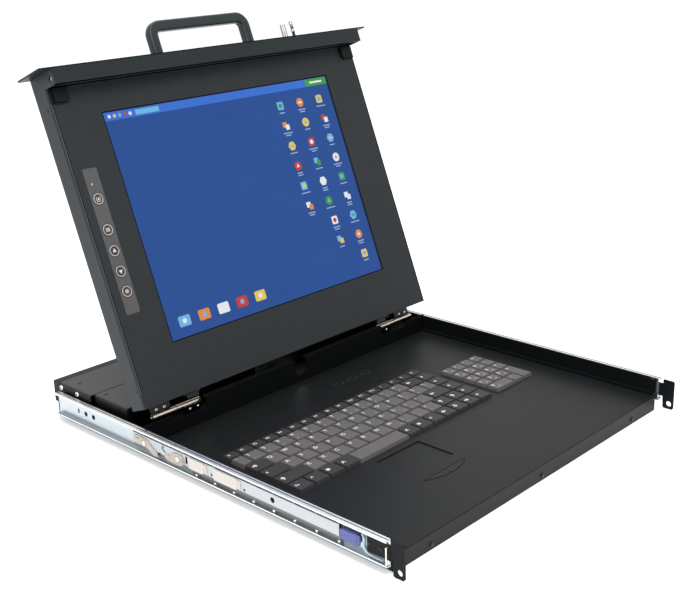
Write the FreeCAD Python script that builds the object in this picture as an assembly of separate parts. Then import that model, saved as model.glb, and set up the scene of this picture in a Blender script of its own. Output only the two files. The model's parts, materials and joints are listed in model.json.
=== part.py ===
"""Rackmount LCD console drawer: a 1U pull-out tray with a keyboard and a display lid that folds up.

Millimetres, +X right, +Y towards the rear, +Z up. The pieces are drawn with Y = 0 at the face of
the front lip and Z = 0 at the tray's underside; each is saved with the origin at the middle of the
underside. The lid stands open.
"""
import FreeCAD, Part
import math
import os

V = FreeCAD.Vector

# ---- driving dimensions -------------------------------------------------------------------
# tray
DECK_HALF = 208.0        # half width of the deck panel
WALL_STEP = 4.6          # the inner face of a side wall lies this far outside the deck
WALL_IN = DECK_HALF + WALL_STEP
WALL_T = 1.2             # sheet of the base pan
WALL_TOP = 33.5          # top edge of the side walls and of the slides
TRAY_D = 479.0           # front lip to rear panel
FLOOR_T = 1.2
DECK_TOP = 15.5
DECK_T = 1.2
LEDGE_RISE = 2.5         # the side ledges stand this much above the deck
PAN_FRONT = 2.0          # front edge of the pan behind the lip's face
GAP = 0.3                # clearance between pieces that are only placed side by side
# step behind the keyboard and rear box
STEP_Y = 317.5
STEP_T = 1.4
STEP_TOP = 41.5
STEP_END_TOP = 35.7      # lower top edge outside the hinges
NOTCH_TOP = 30.0         # wall cut down in front of the hinge screws
NOTCH_W = 43.2
CABLE_NOTCH_W = 18.0
CABLE_NOTCH_Z = 23.0
BOX_TOP = 42.0
BOX_T = 1.2
SEAM_Y = 411.0           # joint between the two covers
FRONT_COVER_Y = 355.0
REAR_COVER_CLEAR = 1.6   # rear cover to the side wall
FRONT_COVER_STEP = 4.0   # the front cover is this much narrower on each side
REAR_COVER_HALF = WALL_IN - REAR_COVER_CLEAR
FRONT_COVER_HALF = REAR_COVER_HALF - FRONT_COVER_STEP
PANEL_FLANGE = 11.0
# hinge axis and lid
HINGE_Y = 327.6
HINGE_Z = 36.8
TILT = 20.9              # lean of the open lid behind the vertical
BARREL_R = 2.8
BARREL_SIDES = 16
PIN_R = 1.5
PIN_FIT = 0.1
LID_CLEAR = 0.6          # lid to the side wall
LID_HALF = WALL_IN - LID_CLEAR
HINGE_INSET = 15.0       # outer end of a hinge inside the lid's edge
HINGE_W = 61.0
HINGE_OUT = LID_HALF - HINGE_INSET
HINGE_IN = HINGE_OUT - HINGE_W
NOTCH_IN = HINGE_IN - 1.2
NOTCH_OUT = NOTCH_IN + NOTCH_W
LEAF_W = 21.5
LEAF_T = 1.3
LID_T = 23.2
LID_SHEET = 1.2
LID_BOTTOM = 11.8        # lower edge of the lid above the hinge axis
BEZEL_Z = 19.8           # height of the bezel face when the lid is shut
BEZEL_T = 1.5
BEZEL_RIM = 2.5
SCREEN_W = 315.5
SCREEN_H = 236.6
SCREEN_LOW = 65.6        # lower edge of the picture above the hinge axis
LCD_BORDER = 8.0
LCD_T = 7.0
# fascia
FASCIA_TOP = 349.4       # outer face above the hinge axis
FASCIA_OVERHANG = 13.3   # the fascia reaches this far past the lid's side
FASCIA_HALF = LID_HALF + FASCIA_OVERHANG
FASCIA_H = 43.6          # one rack unit less clearance
FASCIA_T = 1.5
RETURN_H = 16.5
HANDLE_W = 140.0
HANDLE_H = 40.0
HANDLE_BAR = 11.5
HANDLE_D = 10.0
HANDLE_BEND = 10.5       # radius of the bend at the middle of the bar
HANDLE_EASE = 1.8
HANDLE_STEPS = 6
HANDLE_Z = 28.8          # height of the handle when the lid is shut
# slides
SLIDE_LOW = 9.0
SLIDE_D = 5.9
SLIDE_T = 1.1
SLIDE_END = 465.5
BALL_R = 1.5
BALL_SIDES = 6
BALL_PLAY = 0.25
BALL_COUNT = 8
BALL_FIRST = 53.4
BALL_PITCH = 26.2
MEMBER_Y0 = 52.0
MEMBER_Y1 = 332.0
MEMBER_FACE = 4.6        # outer face of the nested member, from the foot of the channel
MEMBER_T = 1.1
MEMBER_STEP = 1.4        # the lower raceway lies this far behind the face
MEMBER_STEP_Z = 17.2
# ears
EAR_T = 1.5
EAR_FRONT = -17.3
EAR_HOLE_Y = -12.0
EAR_HOLE_Z = 7.5
EAR_HOLE_R = 3.0
EAR_BACK = -4.8
EAR_DROP = 1.9
EAR_TAB_LOW = 14.7
EAR_TAB_HIGH = 28.9
EAR_TAB_END = 22.6
# keyboard
UNIT = 19.05
KEY_GAP = 0.9
KEY_TOP = 18.7
KEY_BOTTOM = 14.6
KEY_TAPER = 1.1
KEY_TRAVEL = 2.0
KEYS_INSET = 23.4        # left edge of the key field inside the deck's edge
KEYS_X = KEYS_INSET - DECK_HALF
KEYS_Y = 131.2           # front edge of the key field
FN_DEPTH = 13.6
STEM = 3.6
STEM_PLAY = 0.3
FRAME_T = 1.2
NUM_INSET = 94.6
NUM_X = DECK_HALF - NUM_INSET
NUM_Y = 132.5
NUM_UNIT = 15.9
NUM_PITCH_Y = 16.1
FIELD_GAP = 0.8          # deck opening around a key field
# pointing device
PAD_X0 = KEYS_X + 89.6
PAD_X1 = KEYS_X + 150.6
PAD_Y0 = 77.0
PAD_Y1 = 121.3
PAD_DEPTH = 1.0
BUTTON_Y = 64.0          # straight rear edge of the two buttons
BUTTON_DEPTH = 9.0
# screen controls
OSD_INSET = 19.8
OSD_X = OSD_INSET - LID_HALF
OSD_W = 16.8
OSD_LOW = 104.0
OSD_HIGH = 251.6
OSD_KEYS = (220.5, 189.3, 168.1, 147.2, 126.8)
OSD_LED = 235.6
OSD_R = 6.0
OSD_SIDES = 14

# fixings of the slide and of the pan's wall
SLIDE_HOLES_Y = (403.5, 416.8)
SLIDE_SLOT_Y = 429.7
SLIDE_SLOT_W = 2.6
SLIDE_SLOT_H = 5.4
RIVET_R = 2.7
RELIEF_Y = 4.0
RELIEF_W = 5.0
RELIEF_H = 2.0
MOON_STEPS = 12

# ---- derived places -----------------------------------------------------------------------
ORIGIN_Y = TRAY_D / 2
WALL_OUT = WALL_IN + WALL_T
LEDGE_TOP = DECK_TOP + LEDGE_RISE
FOOT_IN = DECK_HALF + GAP              # inner face of the pan's lower side
EAR_X = WALL_OUT + SLIDE_T + 0.1
BEZEL_Y = BEZEL_Z - HINGE_Z            # lid frame: front is -Y, up is +Z, hinge axis at the origin
BACK_Y = BEZEL_Y + LID_T
FASCIA_FRONT = -HINGE_Z                # the fascia's lower edge is level with the tray's underside
FASCIA_IN = FASCIA_TOP - FASCIA_T
RETURN_LOW = FASCIA_TOP - RETURN_H
HANDLE_Y = HANDLE_Z - HINGE_Z
FRAME_TOP = KEY_BOTTOM - KEY_TRAVEL - 1.5
DECK_UNDER = DECK_TOP - DECK_T
KEYS_W = 15 * UNIT - KEY_GAP
KEYS_D = 5 * UNIT + FN_DEPTH - KEY_GAP


# ---- helpers ------------------------------------------------------------------------------
def box(x0, x1, y0, y1, z0, z1):
    """Block between two corners given in any order."""
    return Part.makeBox(abs(x1 - x0), abs(y1 - y0), abs(z1 - z0), V(min(x0, x1), min(y0, y1), min(z0, z1)))


def cyl(r, h, at, axis):
    return Part.makeCylinder(r, h, V(*at), V(*axis))


def fuse(shapes):
    """Join overlapping or touching solids into one."""
    body = shapes[0]
    if len(shapes) > 1:
        body = body.multiFuse(shapes[1:])
    return body.removeSplitter()


def cut(body, tools):
    return body.cut(Part.makeCompound(tools)) if tools else body


def outline(points, place):
    """Closed face through 2-D points, set in space by place(a, b)."""
    corners = [place(a, b) for a, b in points]
    return Part.Face(Part.makePolygon(corners + corners[:1]))


def mirrored(shape):
    return shape.mirror(V(0, 0, 0), V(1, 0, 0))


def both(shape):
    """A piece and its mirror image on the other side of the centre plane."""
    return [shape, mirrored(shape)]


def ease_edges(body, size, wanted):
    """Chamfer the straight edges for which wanted(midpoint, direction) is true."""
    picked = []
    for edge in body.Edges:
        if edge.Curve.TypeId != "Part::GeomLine":
            continue
        a, b = edge.Vertexes[0].Point, edge.Vertexes[-1].Point
        if wanted((a + b) * 0.5, (b - a).normalize()):
            picked.append(edge)
    return body.makeChamfer(size, picked) if picked else body


def ring(centre, axis, radius, sides):
    """Corners of a regular polygon about an axis."""
    n = V(*axis)
    n.normalize()
    side = n.cross(V(1, 0, 0) if abs(n.x) < 0.9 else V(0, 0, 1))
    side.normalize()
    other = n.cross(side)
    turns = [2 * math.pi * (i + 0.5) / sides for i in range(sides)]
    return [V(*centre) + side * (radius * math.cos(t)) + other * (radius * math.sin(t)) for t in turns]


def stack(rings):
    """Solid with flat facets through rings of equally many corners."""
    def face(corners):
        return Part.Face(Part.makePolygon(corners + corners[:1]))
    faces = [face(rings[0]), face(rings[-1])]
    for low, high in zip(rings, rings[1:]):
        count = len(low)
        faces += [face([low[i], low[(i + 1) % count], high[(i + 1) % count], high[i]]) for i in range(count)]
    solid = Part.makeSolid(Part.makeShell(faces))
    if solid.Volume < 0:
        solid.reverse()
    return solid


def bar(radius, length, at, axis, sides=12):
    """Round bar with flat facets, inside its radius."""
    end = V(*at) + V(*axis).normalize() * length
    return stack([ring(at, axis, radius, sides), ring(tuple(end), axis, radius, sides)])


def hole(radius, length, at, axis, sides=8):
    """Cutter for a small round hole, outside its radius."""
    return bar(radius / math.cos(math.pi / sides), length, at, axis, sides)


def turned(at, axis, profile, sides):
    """Turned piece with flat facets; profile is a list of (distance along the axis, radius)."""
    out = V(*axis).normalize()
    return stack([ring(tuple(V(*at) + out * along), axis, radius, sides) for along, radius in profile])


def eased(points, radius, steps=3, only=None):
    """Polygon points with each convex corner (or those numbered in only) rounded in short steps."""
    out = []
    count = len(points)
    for i, (x, y) in enumerate(points):
        if only is not None and i not in only:
            out.append((x, y))
            continue
        (px, py), (nx, ny) = points[i - 1], points[(i + 1) % count]
        pl, nl = math.hypot(px - x, py - y), math.hypot(nx - x, ny - y)
        a = (x + (px - x) / pl * radius, y + (py - y) / pl * radius)
        b = (x + (nx - x) / nl * radius, y + (ny - y) / nl * radius)
        for k in range(steps + 1):
            t = k / steps
            u = 1 - t
            across_x = u * u * a[0] + 2 * u * t * x + t * t * b[0]
            across_y = u * u * a[1] + 2 * u * t * y + t * t * b[1]
            out.append((across_x, across_y))
    return out


SCREW_SIDES = 6


def screw(at, axis, head_r, head_h, shank_r, shank_l):
    """Pan-head screw; at is the seat of the head and axis points out of the head."""
    head = turned(at, axis, [(0, head_r), (head_h, head_r * 0.75)], SCREW_SIDES)
    shank = turned(at, axis, [(-shank_l, shank_r), (0, shank_r)], 4)
    return fuse([head, shank])


def stand_lid(shape):
    """Carry a piece from the lid's own frame to the open lid."""
    shape = shape.copy()
    shape.rotate(V(0, 0, 0), V(1, 0, 0), -TILT)
    shape.translate(V(0, HINGE_Y, HINGE_Z))
    return shape


def save(name, shapes):
    solids = [s for shape in shapes for s in shape.Solids]
    shape = (solids[0] if len(solids) == 1 else Part.makeCompound(solids)).copy()
    shape.translate(V(0, -ORIGIN_Y, 0))
    shape.exportStep(f"parts/{name}.step")
    print(f"{name}: {len(solids)} solid(s), {shape.Volume / 1000:.2f} cm3, valid {shape.isValid()}")


# ---- tray -------------------------------------------------------------------------------
def base_pan():
    """Floor and side walls; each wall steps outwards at the ledge that carries the slide's wall."""
    out = FOOT_IN + WALL_T
    floor = box(-DECK_HALF, DECK_HALF, PAN_FRONT, TRAY_D, 0, FLOOR_T)
    section = [(DECK_HALF - 2, 0), (out, 0), (out, LEDGE_TOP - WALL_T), (WALL_OUT, LEDGE_TOP - WALL_T),
               (WALL_OUT, WALL_TOP), (WALL_IN, WALL_TOP), (WALL_IN, LEDGE_TOP), (FOOT_IN, LEDGE_TOP),
               (FOOT_IN, FLOOR_T), (DECK_HALF - 2, FLOOR_T)]
    side = outline(eased(section, 0.9, 2, (1,)), lambda x, z: V(x, PAN_FRONT, z))
    side = side.extrude(V(0, SLIDE_END - PAN_FRONT, 0))
    relief = box(WALL_IN - 1, WALL_OUT + 1, RELIEF_Y, RELIEF_Y + RELIEF_W, WALL_TOP - RELIEF_H, WALL_TOP + 1)
    pan = fuse([floor] + both(side.cut(relief)))
    tools = []
    for x in (-120, 0, 120):
        tools.append(box(x - 40, x + 40, 430, 434, -1, FLOOR_T + 1))
    for side in (-1, 1):
        for y in SLIDE_HOLES_Y:
            tools.append(hole(RIVET_R - 0.9, 4, (side * (WALL_IN - 1), y, slide_mid()), (side, 0, 0), 6))
    return cut(pan, tools)


def deck_panel():
    """Keyboard deck with folded front lip and skirts, and openings for everything on it."""
    back = STEP_Y - GAP
    top = box(-DECK_HALF, DECK_HALF, 0, back, DECK_UNDER, DECK_TOP)
    lip = box(-DECK_HALF, DECK_HALF, 0, DECK_T, 0, DECK_TOP)
    skirt = box(DECK_HALF - DECK_T, DECK_HALF, 0, back, FLOOR_T, DECK_TOP)
    deck = fuse([top, lip] + both(skirt))
    deck = ease_edges(deck, 0.6, lambda m, d: abs(d.x) > 0.99 and m.y < 0.1 and m.z > DECK_TOP - 0.1)
    tools = [field_opening(KEYS_X, KEYS_Y, KEYS_W, KEYS_D)]
    tools.append(field_opening(NUM_X, NUM_Y, 4 * NUM_UNIT - KEY_GAP, 5 * NUM_PITCH_Y - KEY_GAP))
    tools.append(box(PAD_X0, PAD_X1, PAD_Y0, PAD_Y1, DECK_UNDER - 1, DECK_TOP + 1))
    tools.append(moon(0).extrude(V(0, 0, DECK_T + 4)))
    for x in INDICATORS_X:
        tools.append(box(x - 5.5, x + 5.5, INDICATOR_Y - 1.8, INDICATOR_Y + 1.8,
                         DECK_UNDER - 1, DECK_TOP + 1))
    for x in LIP_SCREWS_X:
        tools.append(hole(1.4, 4, (x, -1, LIP_SCREW_Z), (0, 1, 0), 4))
    return cut(deck, tools)


def field_opening(x, y, w, d):
    return box(x - FIELD_GAP, x + w + FIELD_GAP, y - FIELD_GAP, y + d + FIELD_GAP,
               DECK_UNDER - 1, DECK_TOP + 1)


def moon(inset):
    """Half-moon outline of the pointing buttons: straight behind, curved in front."""
    x0, x1 = PAD_X0 + inset * 2.2, PAD_X1 - inset * 2.2
    mid, half = (x0 + x1) / 2, (x1 - x0) / 2
    back, depth = BUTTON_Y - inset, BUTTON_DEPTH - 2 * inset
    points = [(x1, back)]
    for i in range(1, MOON_STEPS):
        t = 1 - 2 * i / MOON_STEPS
        points.append((mid + half * t, back - depth * (1 - t * t)))
    points.append((x0, back))
    return outline(points, lambda x, y: V(x, y, DECK_UNDER - 1.3))


def hinge_beam():
    """Step wall behind the keyboard, with the hinge well and its rear wall."""
    y1 = STEP_Y + STEP_T
    rear = FRONT_COVER_Y - GAP
    floor_z = CABLE_NOTCH_Z - 1.5
    wall = box(-WALL_IN + GAP, WALL_IN - GAP, STEP_Y, y1, LEDGE_TOP + GAP, STEP_TOP)
    foot = box(-DECK_HALF, DECK_HALF, STEP_Y, y1, FLOOR_T, LEDGE_TOP + GAP)
    flange = box(-NOTCH_IN, NOTCH_IN, STEP_Y, STEP_Y + 6.5, STEP_TOP - STEP_T, STEP_TOP)
    floor = box(-FRONT_COVER_HALF, FRONT_COVER_HALF, STEP_Y, rear, floor_z - STEP_T, floor_z)
    back = box(-FRONT_COVER_HALF, FRONT_COVER_HALF, rear - STEP_T, rear,
               floor_z - STEP_T, BOX_TOP - BOX_T - GAP)
    beam = fuse([wall, foot, flange, floor, back])
    tools = [box(-CABLE_NOTCH_W / 2, CABLE_NOTCH_W / 2, STEP_Y - 1, STEP_Y + 8,
                 CABLE_NOTCH_Z + CABLE_NOTCH_W / 2, STEP_TOP + 1),
             hole(CABLE_NOTCH_W / 2, 9, (0, STEP_Y - 1, CABLE_NOTCH_Z + CABLE_NOTCH_W / 2), (0, 1, 0), 16)]
    tools.append(box(-35, 35, rear - STEP_T - 1, rear + 1, floor_z + 1.5, BOX_TOP - 8))
    for side in (-1, 1):
        tools.append(box(side * NOTCH_IN, side * NOTCH_OUT, STEP_Y - 1, y1 + 6, NOTCH_TOP, STEP_TOP + 1))
        tools.append(box(side * NOTCH_OUT, side * WALL_IN, STEP_Y - 1, y1 + 6, STEP_END_TOP, STEP_TOP + 1))
    beam = cut(beam, tools)
    seat_y = HINGE_Y - BARREL_R + LEAF_T
    tab = box(HINGE_IN + 1, HINGE_IN + 1 + LEAF_W, seat_y, seat_y + STEP_T,
              floor_z - STEP_T, HINGE_Z - BARREL_R - GAP)
    holes = [hole(1.1, 5, (x, seat_y - 1, HINGE_SCREW_Z), (0, 1, 0), 4) for x in TRAY_SCREWS_X]
    return fuse([beam] + both(cut(tab, holes)))


def cover(half, y0, y1, edge_r, lip_front):
    """U-shaped cover of the rear box with rolled side edges."""
    low = LEDGE_TOP + GAP
    outer = [(-half, low), (half, low), (half, BOX_TOP), (-half, BOX_TOP)]
    inner = [(-half + BOX_T, low - 1), (half - BOX_T, low - 1), (half - BOX_T, BOX_TOP - BOX_T),
             (-half + BOX_T, BOX_TOP - BOX_T)]
    skin = outline(eased(outer, edge_r, 4, (2, 3)), lambda x, z: V(x, y0, z)).extrude(V(0, y1 - y0, 0))
    hollow = outline(eased(inner, edge_r - BOX_T + 0.4, 4, (2, 3)), lambda x, z: V(x, y0 - 1, z))
    skin = skin.cut(hollow.extrude(V(0, y1 - y0 + 2, 0)))
    if lip_front:
        lip = box(-half + 6, half - 6, y0, y0 + BOX_T, BOX_TOP - 9, BOX_TOP - BOX_T / 2)
        skin = fuse([skin, lip])
    return skin


def front_cover():
    top = cover(FRONT_COVER_HALF, FRONT_COVER_Y, SEAM_Y - 0.6, 2.5, True)
    return cut(top, [hole(1.3, 5, (x, SEAM_Y - 8, BOX_TOP - 3), (0, 0, 1), 4) for x in COVER_SCREWS_X])


def rear_cover():
    top = cover(REAR_COVER_HALF, SEAM_Y + 0.6, TRAY_D - PANEL_FLANGE - GAP, 2.5, False)
    spots = [(x, y) for x in COVER_SCREWS_X for y in REAR_COVER_SCREWS_Y]
    tools = [hole(1.3, 5, (x, y, BOX_TOP - 3), (0, 0, 1), 4) for x, y in spots]
    for side in (-1, 1):
        for y in SIDE_SCREWS_Y:
            tools.append(hole(1.3, 5, (side * (REAR_COVER_HALF - 3), y, SIDE_SCREW_Z), (side, 0, 0), 4))
    return cut(top, tools)


def rear_panel():
    """Back plate with a top flange and side returns, cut for the connectors."""
    y0, y1 = TRAY_D - PANEL_FLANGE, TRAY_D - BOX_T
    split = LEDGE_TOP + GAP
    upper = box(-REAR_COVER_HALF, REAR_COVER_HALF, y0, TRAY_D, split, BOX_TOP)
    corner = lambda m, d: abs(d.x) > 0.99 and m.z > BOX_TOP - 0.1 and m.y > TRAY_D - 0.1
    upper = ease_edges(upper, 0.8, corner)
    inside = REAR_COVER_HALF - BOX_T
    upper = upper.cut(box(-inside, inside, y0 - 1, y1, split - 1, BOX_TOP - BOX_T))
    lower = box(-DECK_HALF, DECK_HALF, y1, TRAY_D, FLOOR_T, split)
    shell = fuse([upper, lower])
    tools = [box(INLET_X - 13.7, INLET_X + 13.7, TRAY_D - 3, TRAY_D + 1, INLET_Z - 10.0, INLET_Z + 10.0)]
    tools.append(box(VIDEO_X - 8.6, VIDEO_X + 8.6, TRAY_D - 3, TRAY_D + 1, PORT_Z - 4.5, PORT_Z + 4.5))
    for x in (VIDEO_X - 12.5, VIDEO_X + 12.5):
        tools.append(hole(1.8, 4, (x, TRAY_D - 3, PORT_Z), (0, 1, 0), 6))
    for x in MINI_DIN_X:
        tools.append(hole(4.9, 4, (x, TRAY_D - 3, PORT_Z), (0, 1, 0), 10))
    for row in range(2):
        for column in range(3):
            x = 20 + column * 40
            z = 14 + row * 12
            tools.append(box(x, x + 34, TRAY_D - 3, TRAY_D + 1, z, z + 3.0))
    return cut(shell, tools)


INDICATORS_X = (20.0, 41.5, 63.0)
INDICATOR_Y = 279.5
LIP_SCREWS_X = (46.0 - DECK_HALF, 0.0, DECK_HALF - 46.0)
LIP_SCREW_Z = 5.0
COVER_SCREWS_X = (9.5 - FRONT_COVER_HALF, 0.0, FRONT_COVER_HALF - 9.5)
REAR_COVER_SCREWS_Y = (450.0,)
SIDE_SCREWS_Y = (435.1, 463.9)
SIDE_SCREW_Z = 36.9
TRAY_SCREWS_X = (HINGE_IN + 4.5, HINGE_IN + 15.0)
LID_SCREWS_X = (HINGE_OUT - 17.5, HINGE_OUT - 7.5)
HINGE_SCREW_Z = 31.4
LEAF_SCREW = 6.2
INLET_X = -150.0
INLET_Z = 20.0
VIDEO_X = -95.0
MINI_DIN_X = (-66.0, -50.0)
PORT_Z = 19.0


def slide_mid():
    return (SLIDE_LOW + WALL_TOP) / 2


def power_inlet():
    """Three-pin appliance inlet: flange outside the panel, hollow body behind it."""
    flange = box(INLET_X - 15.5, INLET_X + 15.5, TRAY_D, TRAY_D + 1.8, INLET_Z - 11.5, INLET_Z + 11.5)
    flange = ease_edges(flange, 1.5, lambda m, d: abs(d.y) > 0.99)
    body = box(INLET_X - 13.4, INLET_X + 13.4, TRAY_D - 20, TRAY_D, INLET_Z - 9.7, INLET_Z + 9.7)
    shell = fuse([flange, body])
    mouth = box(INLET_X - 11.5, INLET_X + 11.5, TRAY_D - 15, TRAY_D + 3, INLET_Z - 7.5, INLET_Z + 7.5)
    shell = shell.cut(mouth)
    pins = [box(INLET_X + dx - 1, INLET_X + dx + 1, TRAY_D - 16, TRAY_D - 3,
                INLET_Z + dz - 2, INLET_Z + dz + 2)
            for dx, dz in ((-7, -1.5), (0, 2), (7, -1.5))]
    return fuse([shell] + pins)


def signal_connectors():
    """Video socket with jack screws and two round console sockets."""
    parts = []
    shell = box(VIDEO_X - 8.3, VIDEO_X + 8.3, TRAY_D - 9, TRAY_D + 5.5, PORT_Z - 4.2, PORT_Z + 4.2)
    shell = ease_edges(shell, 1.4, lambda m, d: abs(d.y) > 0.99)
    plate = box(VIDEO_X - 15.5, VIDEO_X + 15.5, TRAY_D - 2.4, TRAY_D - BOX_T, PORT_Z - 6.2, PORT_Z + 6.2)
    posts = [bar(1.6, 6.4, (x, TRAY_D - 2.4, PORT_Z), (0, 1, 0), 6) for x in (VIDEO_X - 12.5, VIDEO_X + 12.5)]
    parts.append(fuse([shell, plate] + posts))
    for x in MINI_DIN_X:
        can = bar(4.7, 12, (x, TRAY_D - 11.4, PORT_Z), (0, 1, 0), 10)
        rim = box(x - 6.5, x + 6.5, TRAY_D - 11.4, TRAY_D - BOX_T, PORT_Z - 6.5, PORT_Z + 6.5)
        well = bar(3.6, 8, (x, TRAY_D - 6, PORT_Z), (0, 1, 0), 8)
        well = well.cut(box(x - 0.8, x + 0.8, TRAY_D - 6, TRAY_D + 1, PORT_Z - 2, PORT_Z))
        parts.append(fuse([can, rim]).cut(well))
    return parts


def psu_module():
    """Open-frame power supply: board, transformer, capacitors and heat-sink on standoffs."""
    z = FLOOR_T + 5
    x0, x1, y0, y1 = -196, -112, 368, 452
    board = box(x0, x1, y0, y1, z, z + 1.6)
    items = [board, box(-186, -160, 380, 404, z + 1, z + 20), box(-150, -136, 376, 440, z + 1, z + 22)]
    items += [bar(6, 18, (x, 430, z + 1), (0, 0, 1), 8) for x in (-182, -166)]
    corners = [(x, y) for x in (x0 + 5, x1 - 5) for y in (y0 + 5, y1 - 5)]
    items += [bar(2.5, 5.4, (x, y, FLOOR_T), (0, 0, 1), 4) for x, y in corners]
    return fuse(items)


def controller_board():
    """Console controller board with its chips and inner connectors, on standoffs."""
    z = FLOOR_T + 5
    x0, x1, y0, y1 = -100, 10, 366, 464
    items = [box(x0, x1, y0, y1, z, z + 1.6)]
    items += [box(-80, -56, 400, 424, z + 1, z + 4)]
    items += [box(-90, -62, 372, 378, z + 1, z + 9), box(-20, 4, 372, 378, z + 1, z + 9)]
    corners = [(x, y) for x in (x0 + 5, x1 - 5) for y in (y0 + 5, y1 - 5)]
    items += [bar(2.5, 5.4, (x, y, FLOOR_T), (0, 0, 1), 4) for x, y in corners]
    return fuse(items)


def tray_screws():
    """All small screws of the tray, rear box, ears and tray-side hinge leaves."""
    out = [screw((x, 0, LIP_SCREW_Z), (0, -1, 0), 2.4, 1.2, 1.3, 4) for x in LIP_SCREWS_X]
    for side in (-1, 1):
        for y in SIDE_SCREWS_Y:
            out.append(screw((side * REAR_COVER_HALF, y, SIDE_SCREW_Z), (side, 0, 0), 3.1, 1.4, 1.2, 4))
        for y, z in EAR_SCREWS:
            out.append(screw((side * (EAR_X + EAR_T), y, z), (side, 0, 0), 1.9, 0.7, 1.0, 1.5))
        for x in TRAY_SCREWS_X:
            out.append(screw((side * x, HINGE_Y - BARREL_R, HINGE_SCREW_Z), (0, -1, 0), 2.0, 1.4, 1.0, 3))
    for x in COVER_SCREWS_X:
        for y in REAR_COVER_SCREWS_Y + (SEAM_Y - 8,):
            out.append(screw((x, y, BOX_TOP), (0, 0, 1), 2.3, 0.5, 1.2, 4))
    return out


EAR_SCREWS = ((7.5, 22.0), (20.0, 22.2))


def ear_bracket():
    """Side ear: a tab that lies in the slide's end and a plate with the locking hole in front."""
    place = lambda y, z: V(EAR_X, y, z)
    tab_low, tab_high = EAR_TAB_LOW, EAR_TAB_HIGH
    plate_back, tab_end = EAR_BACK, EAR_TAB_END
    drop = EAR_DROP
    points = [(tab_end, tab_low), (tab_end, tab_high), (plate_back, tab_high), (plate_back, WALL_TOP),
              (EAR_FRONT, WALL_TOP), (EAR_FRONT, drop), (plate_back - 0.4, drop),
              (plate_back - 0.4, SLIDE_LOW - 0.3), (plate_back, SLIDE_LOW - 0.3), (plate_back, tab_low)]
    plate = outline(points, place).extrude(V(EAR_T, 0, 0))
    corner = lambda m, d: abs(d.x) > 0.99 and (m.y < EAR_FRONT + 0.1 or (m.z < drop + 0.1))
    plate = ease_edges(plate, 1.4, corner)
    tools = [cyl(EAR_HOLE_R, EAR_T + 2, (EAR_X - 1, EAR_HOLE_Y, EAR_HOLE_Z), (1, 0, 0))]
    tools += [hole(1.1, EAR_T + 2, (EAR_X - 1, y, z), (1, 0, 0), 4) for y, z in EAR_SCREWS]
    return cut(plate, tools)


# ---- slides (drawn on the right, mirrored to the left) --------------------------------------
def across(s):
    """X of a depth s measured outwards from the tray wall."""
    return WALL_OUT + s


def rail_low():
    return SLIDE_LOW + SLIDE_T + BALL_PLAY + BALL_R


def rail_high():
    return WALL_TOP - SLIDE_T - BALL_PLAY - BALL_R


def slide_channel():
    """C-section rail, open outwards, with rolled raceways, grooved flanges and its fixing holes."""
    low, high, lip = SLIDE_LOW, WALL_TOP, SLIDE_LIP
    t, deep = SLIDE_T, SLIDE_D
    outer = eased([(0, low), (deep, low), (deep, high), (0, high)], 1.3, 3, (1, 2))
    inner = [(t, low + t), (deep - t, low + t), (deep - t, low + lip), (deep + 1, low + lip),
             (deep + 1, high - lip), (deep - t, high - lip), (deep - t, high - t), (t, high - t)]
    skin = outline(outer, lambda a, z: V(across(a), -LIP_LEAD, z)).extrude(V(0, SLIDE_END + LIP_LEAD, 0))
    hollow = outline(inner, lambda a, z: V(across(a), -LIP_LEAD - 1, z))
    hollow = hollow.extrude(V(0, SLIDE_END + LIP_LEAD + 2, 0))
    mid = slide_mid()
    tools = [hollow, box(across(-1), across(t), -LIP_LEAD - 1, 0, low - 1, high + 1)]
    groove_in, groove_out = across(deep * 0.42), across(deep * 0.42 + GROOVE_W)
    tools.append(box(groove_in, groove_out, -LIP_LEAD - 1, SLIDE_END + 1, high - GROOVE_DEPTH, high + 1))
    tools.append(box(groove_in, groove_out, -LIP_LEAD - 1, SLIDE_END + 1, low - 1, low + GROOVE_DEPTH))
    tools += [hole(RIVET_R, 4, (across(-1), y, mid), (1, 0, 0), 12) for y in SLIDE_HOLES_Y]
    slot = eased([(SLIDE_SLOT_Y - SLIDE_SLOT_W / 2, mid - SLIDE_SLOT_H / 2),
                  (SLIDE_SLOT_Y + SLIDE_SLOT_W / 2, mid - SLIDE_SLOT_H / 2),
                  (SLIDE_SLOT_Y + SLIDE_SLOT_W / 2, mid + SLIDE_SLOT_H / 2),
                  (SLIDE_SLOT_Y - SLIDE_SLOT_W / 2, mid + SLIDE_SLOT_H / 2)], 1.2, 2)
    tools.append(outline(slot, lambda y, z: V(across(-1), y, z)).extrude(V(3, 0, 0)))
    return cut(skin, tools)


def member_span():
    """Lowest and highest Z of the nested rail, between the two rows of balls."""
    return rail_low() + BALL_R + BALL_PLAY, rail_high() - BALL_R - BALL_PLAY


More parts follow.
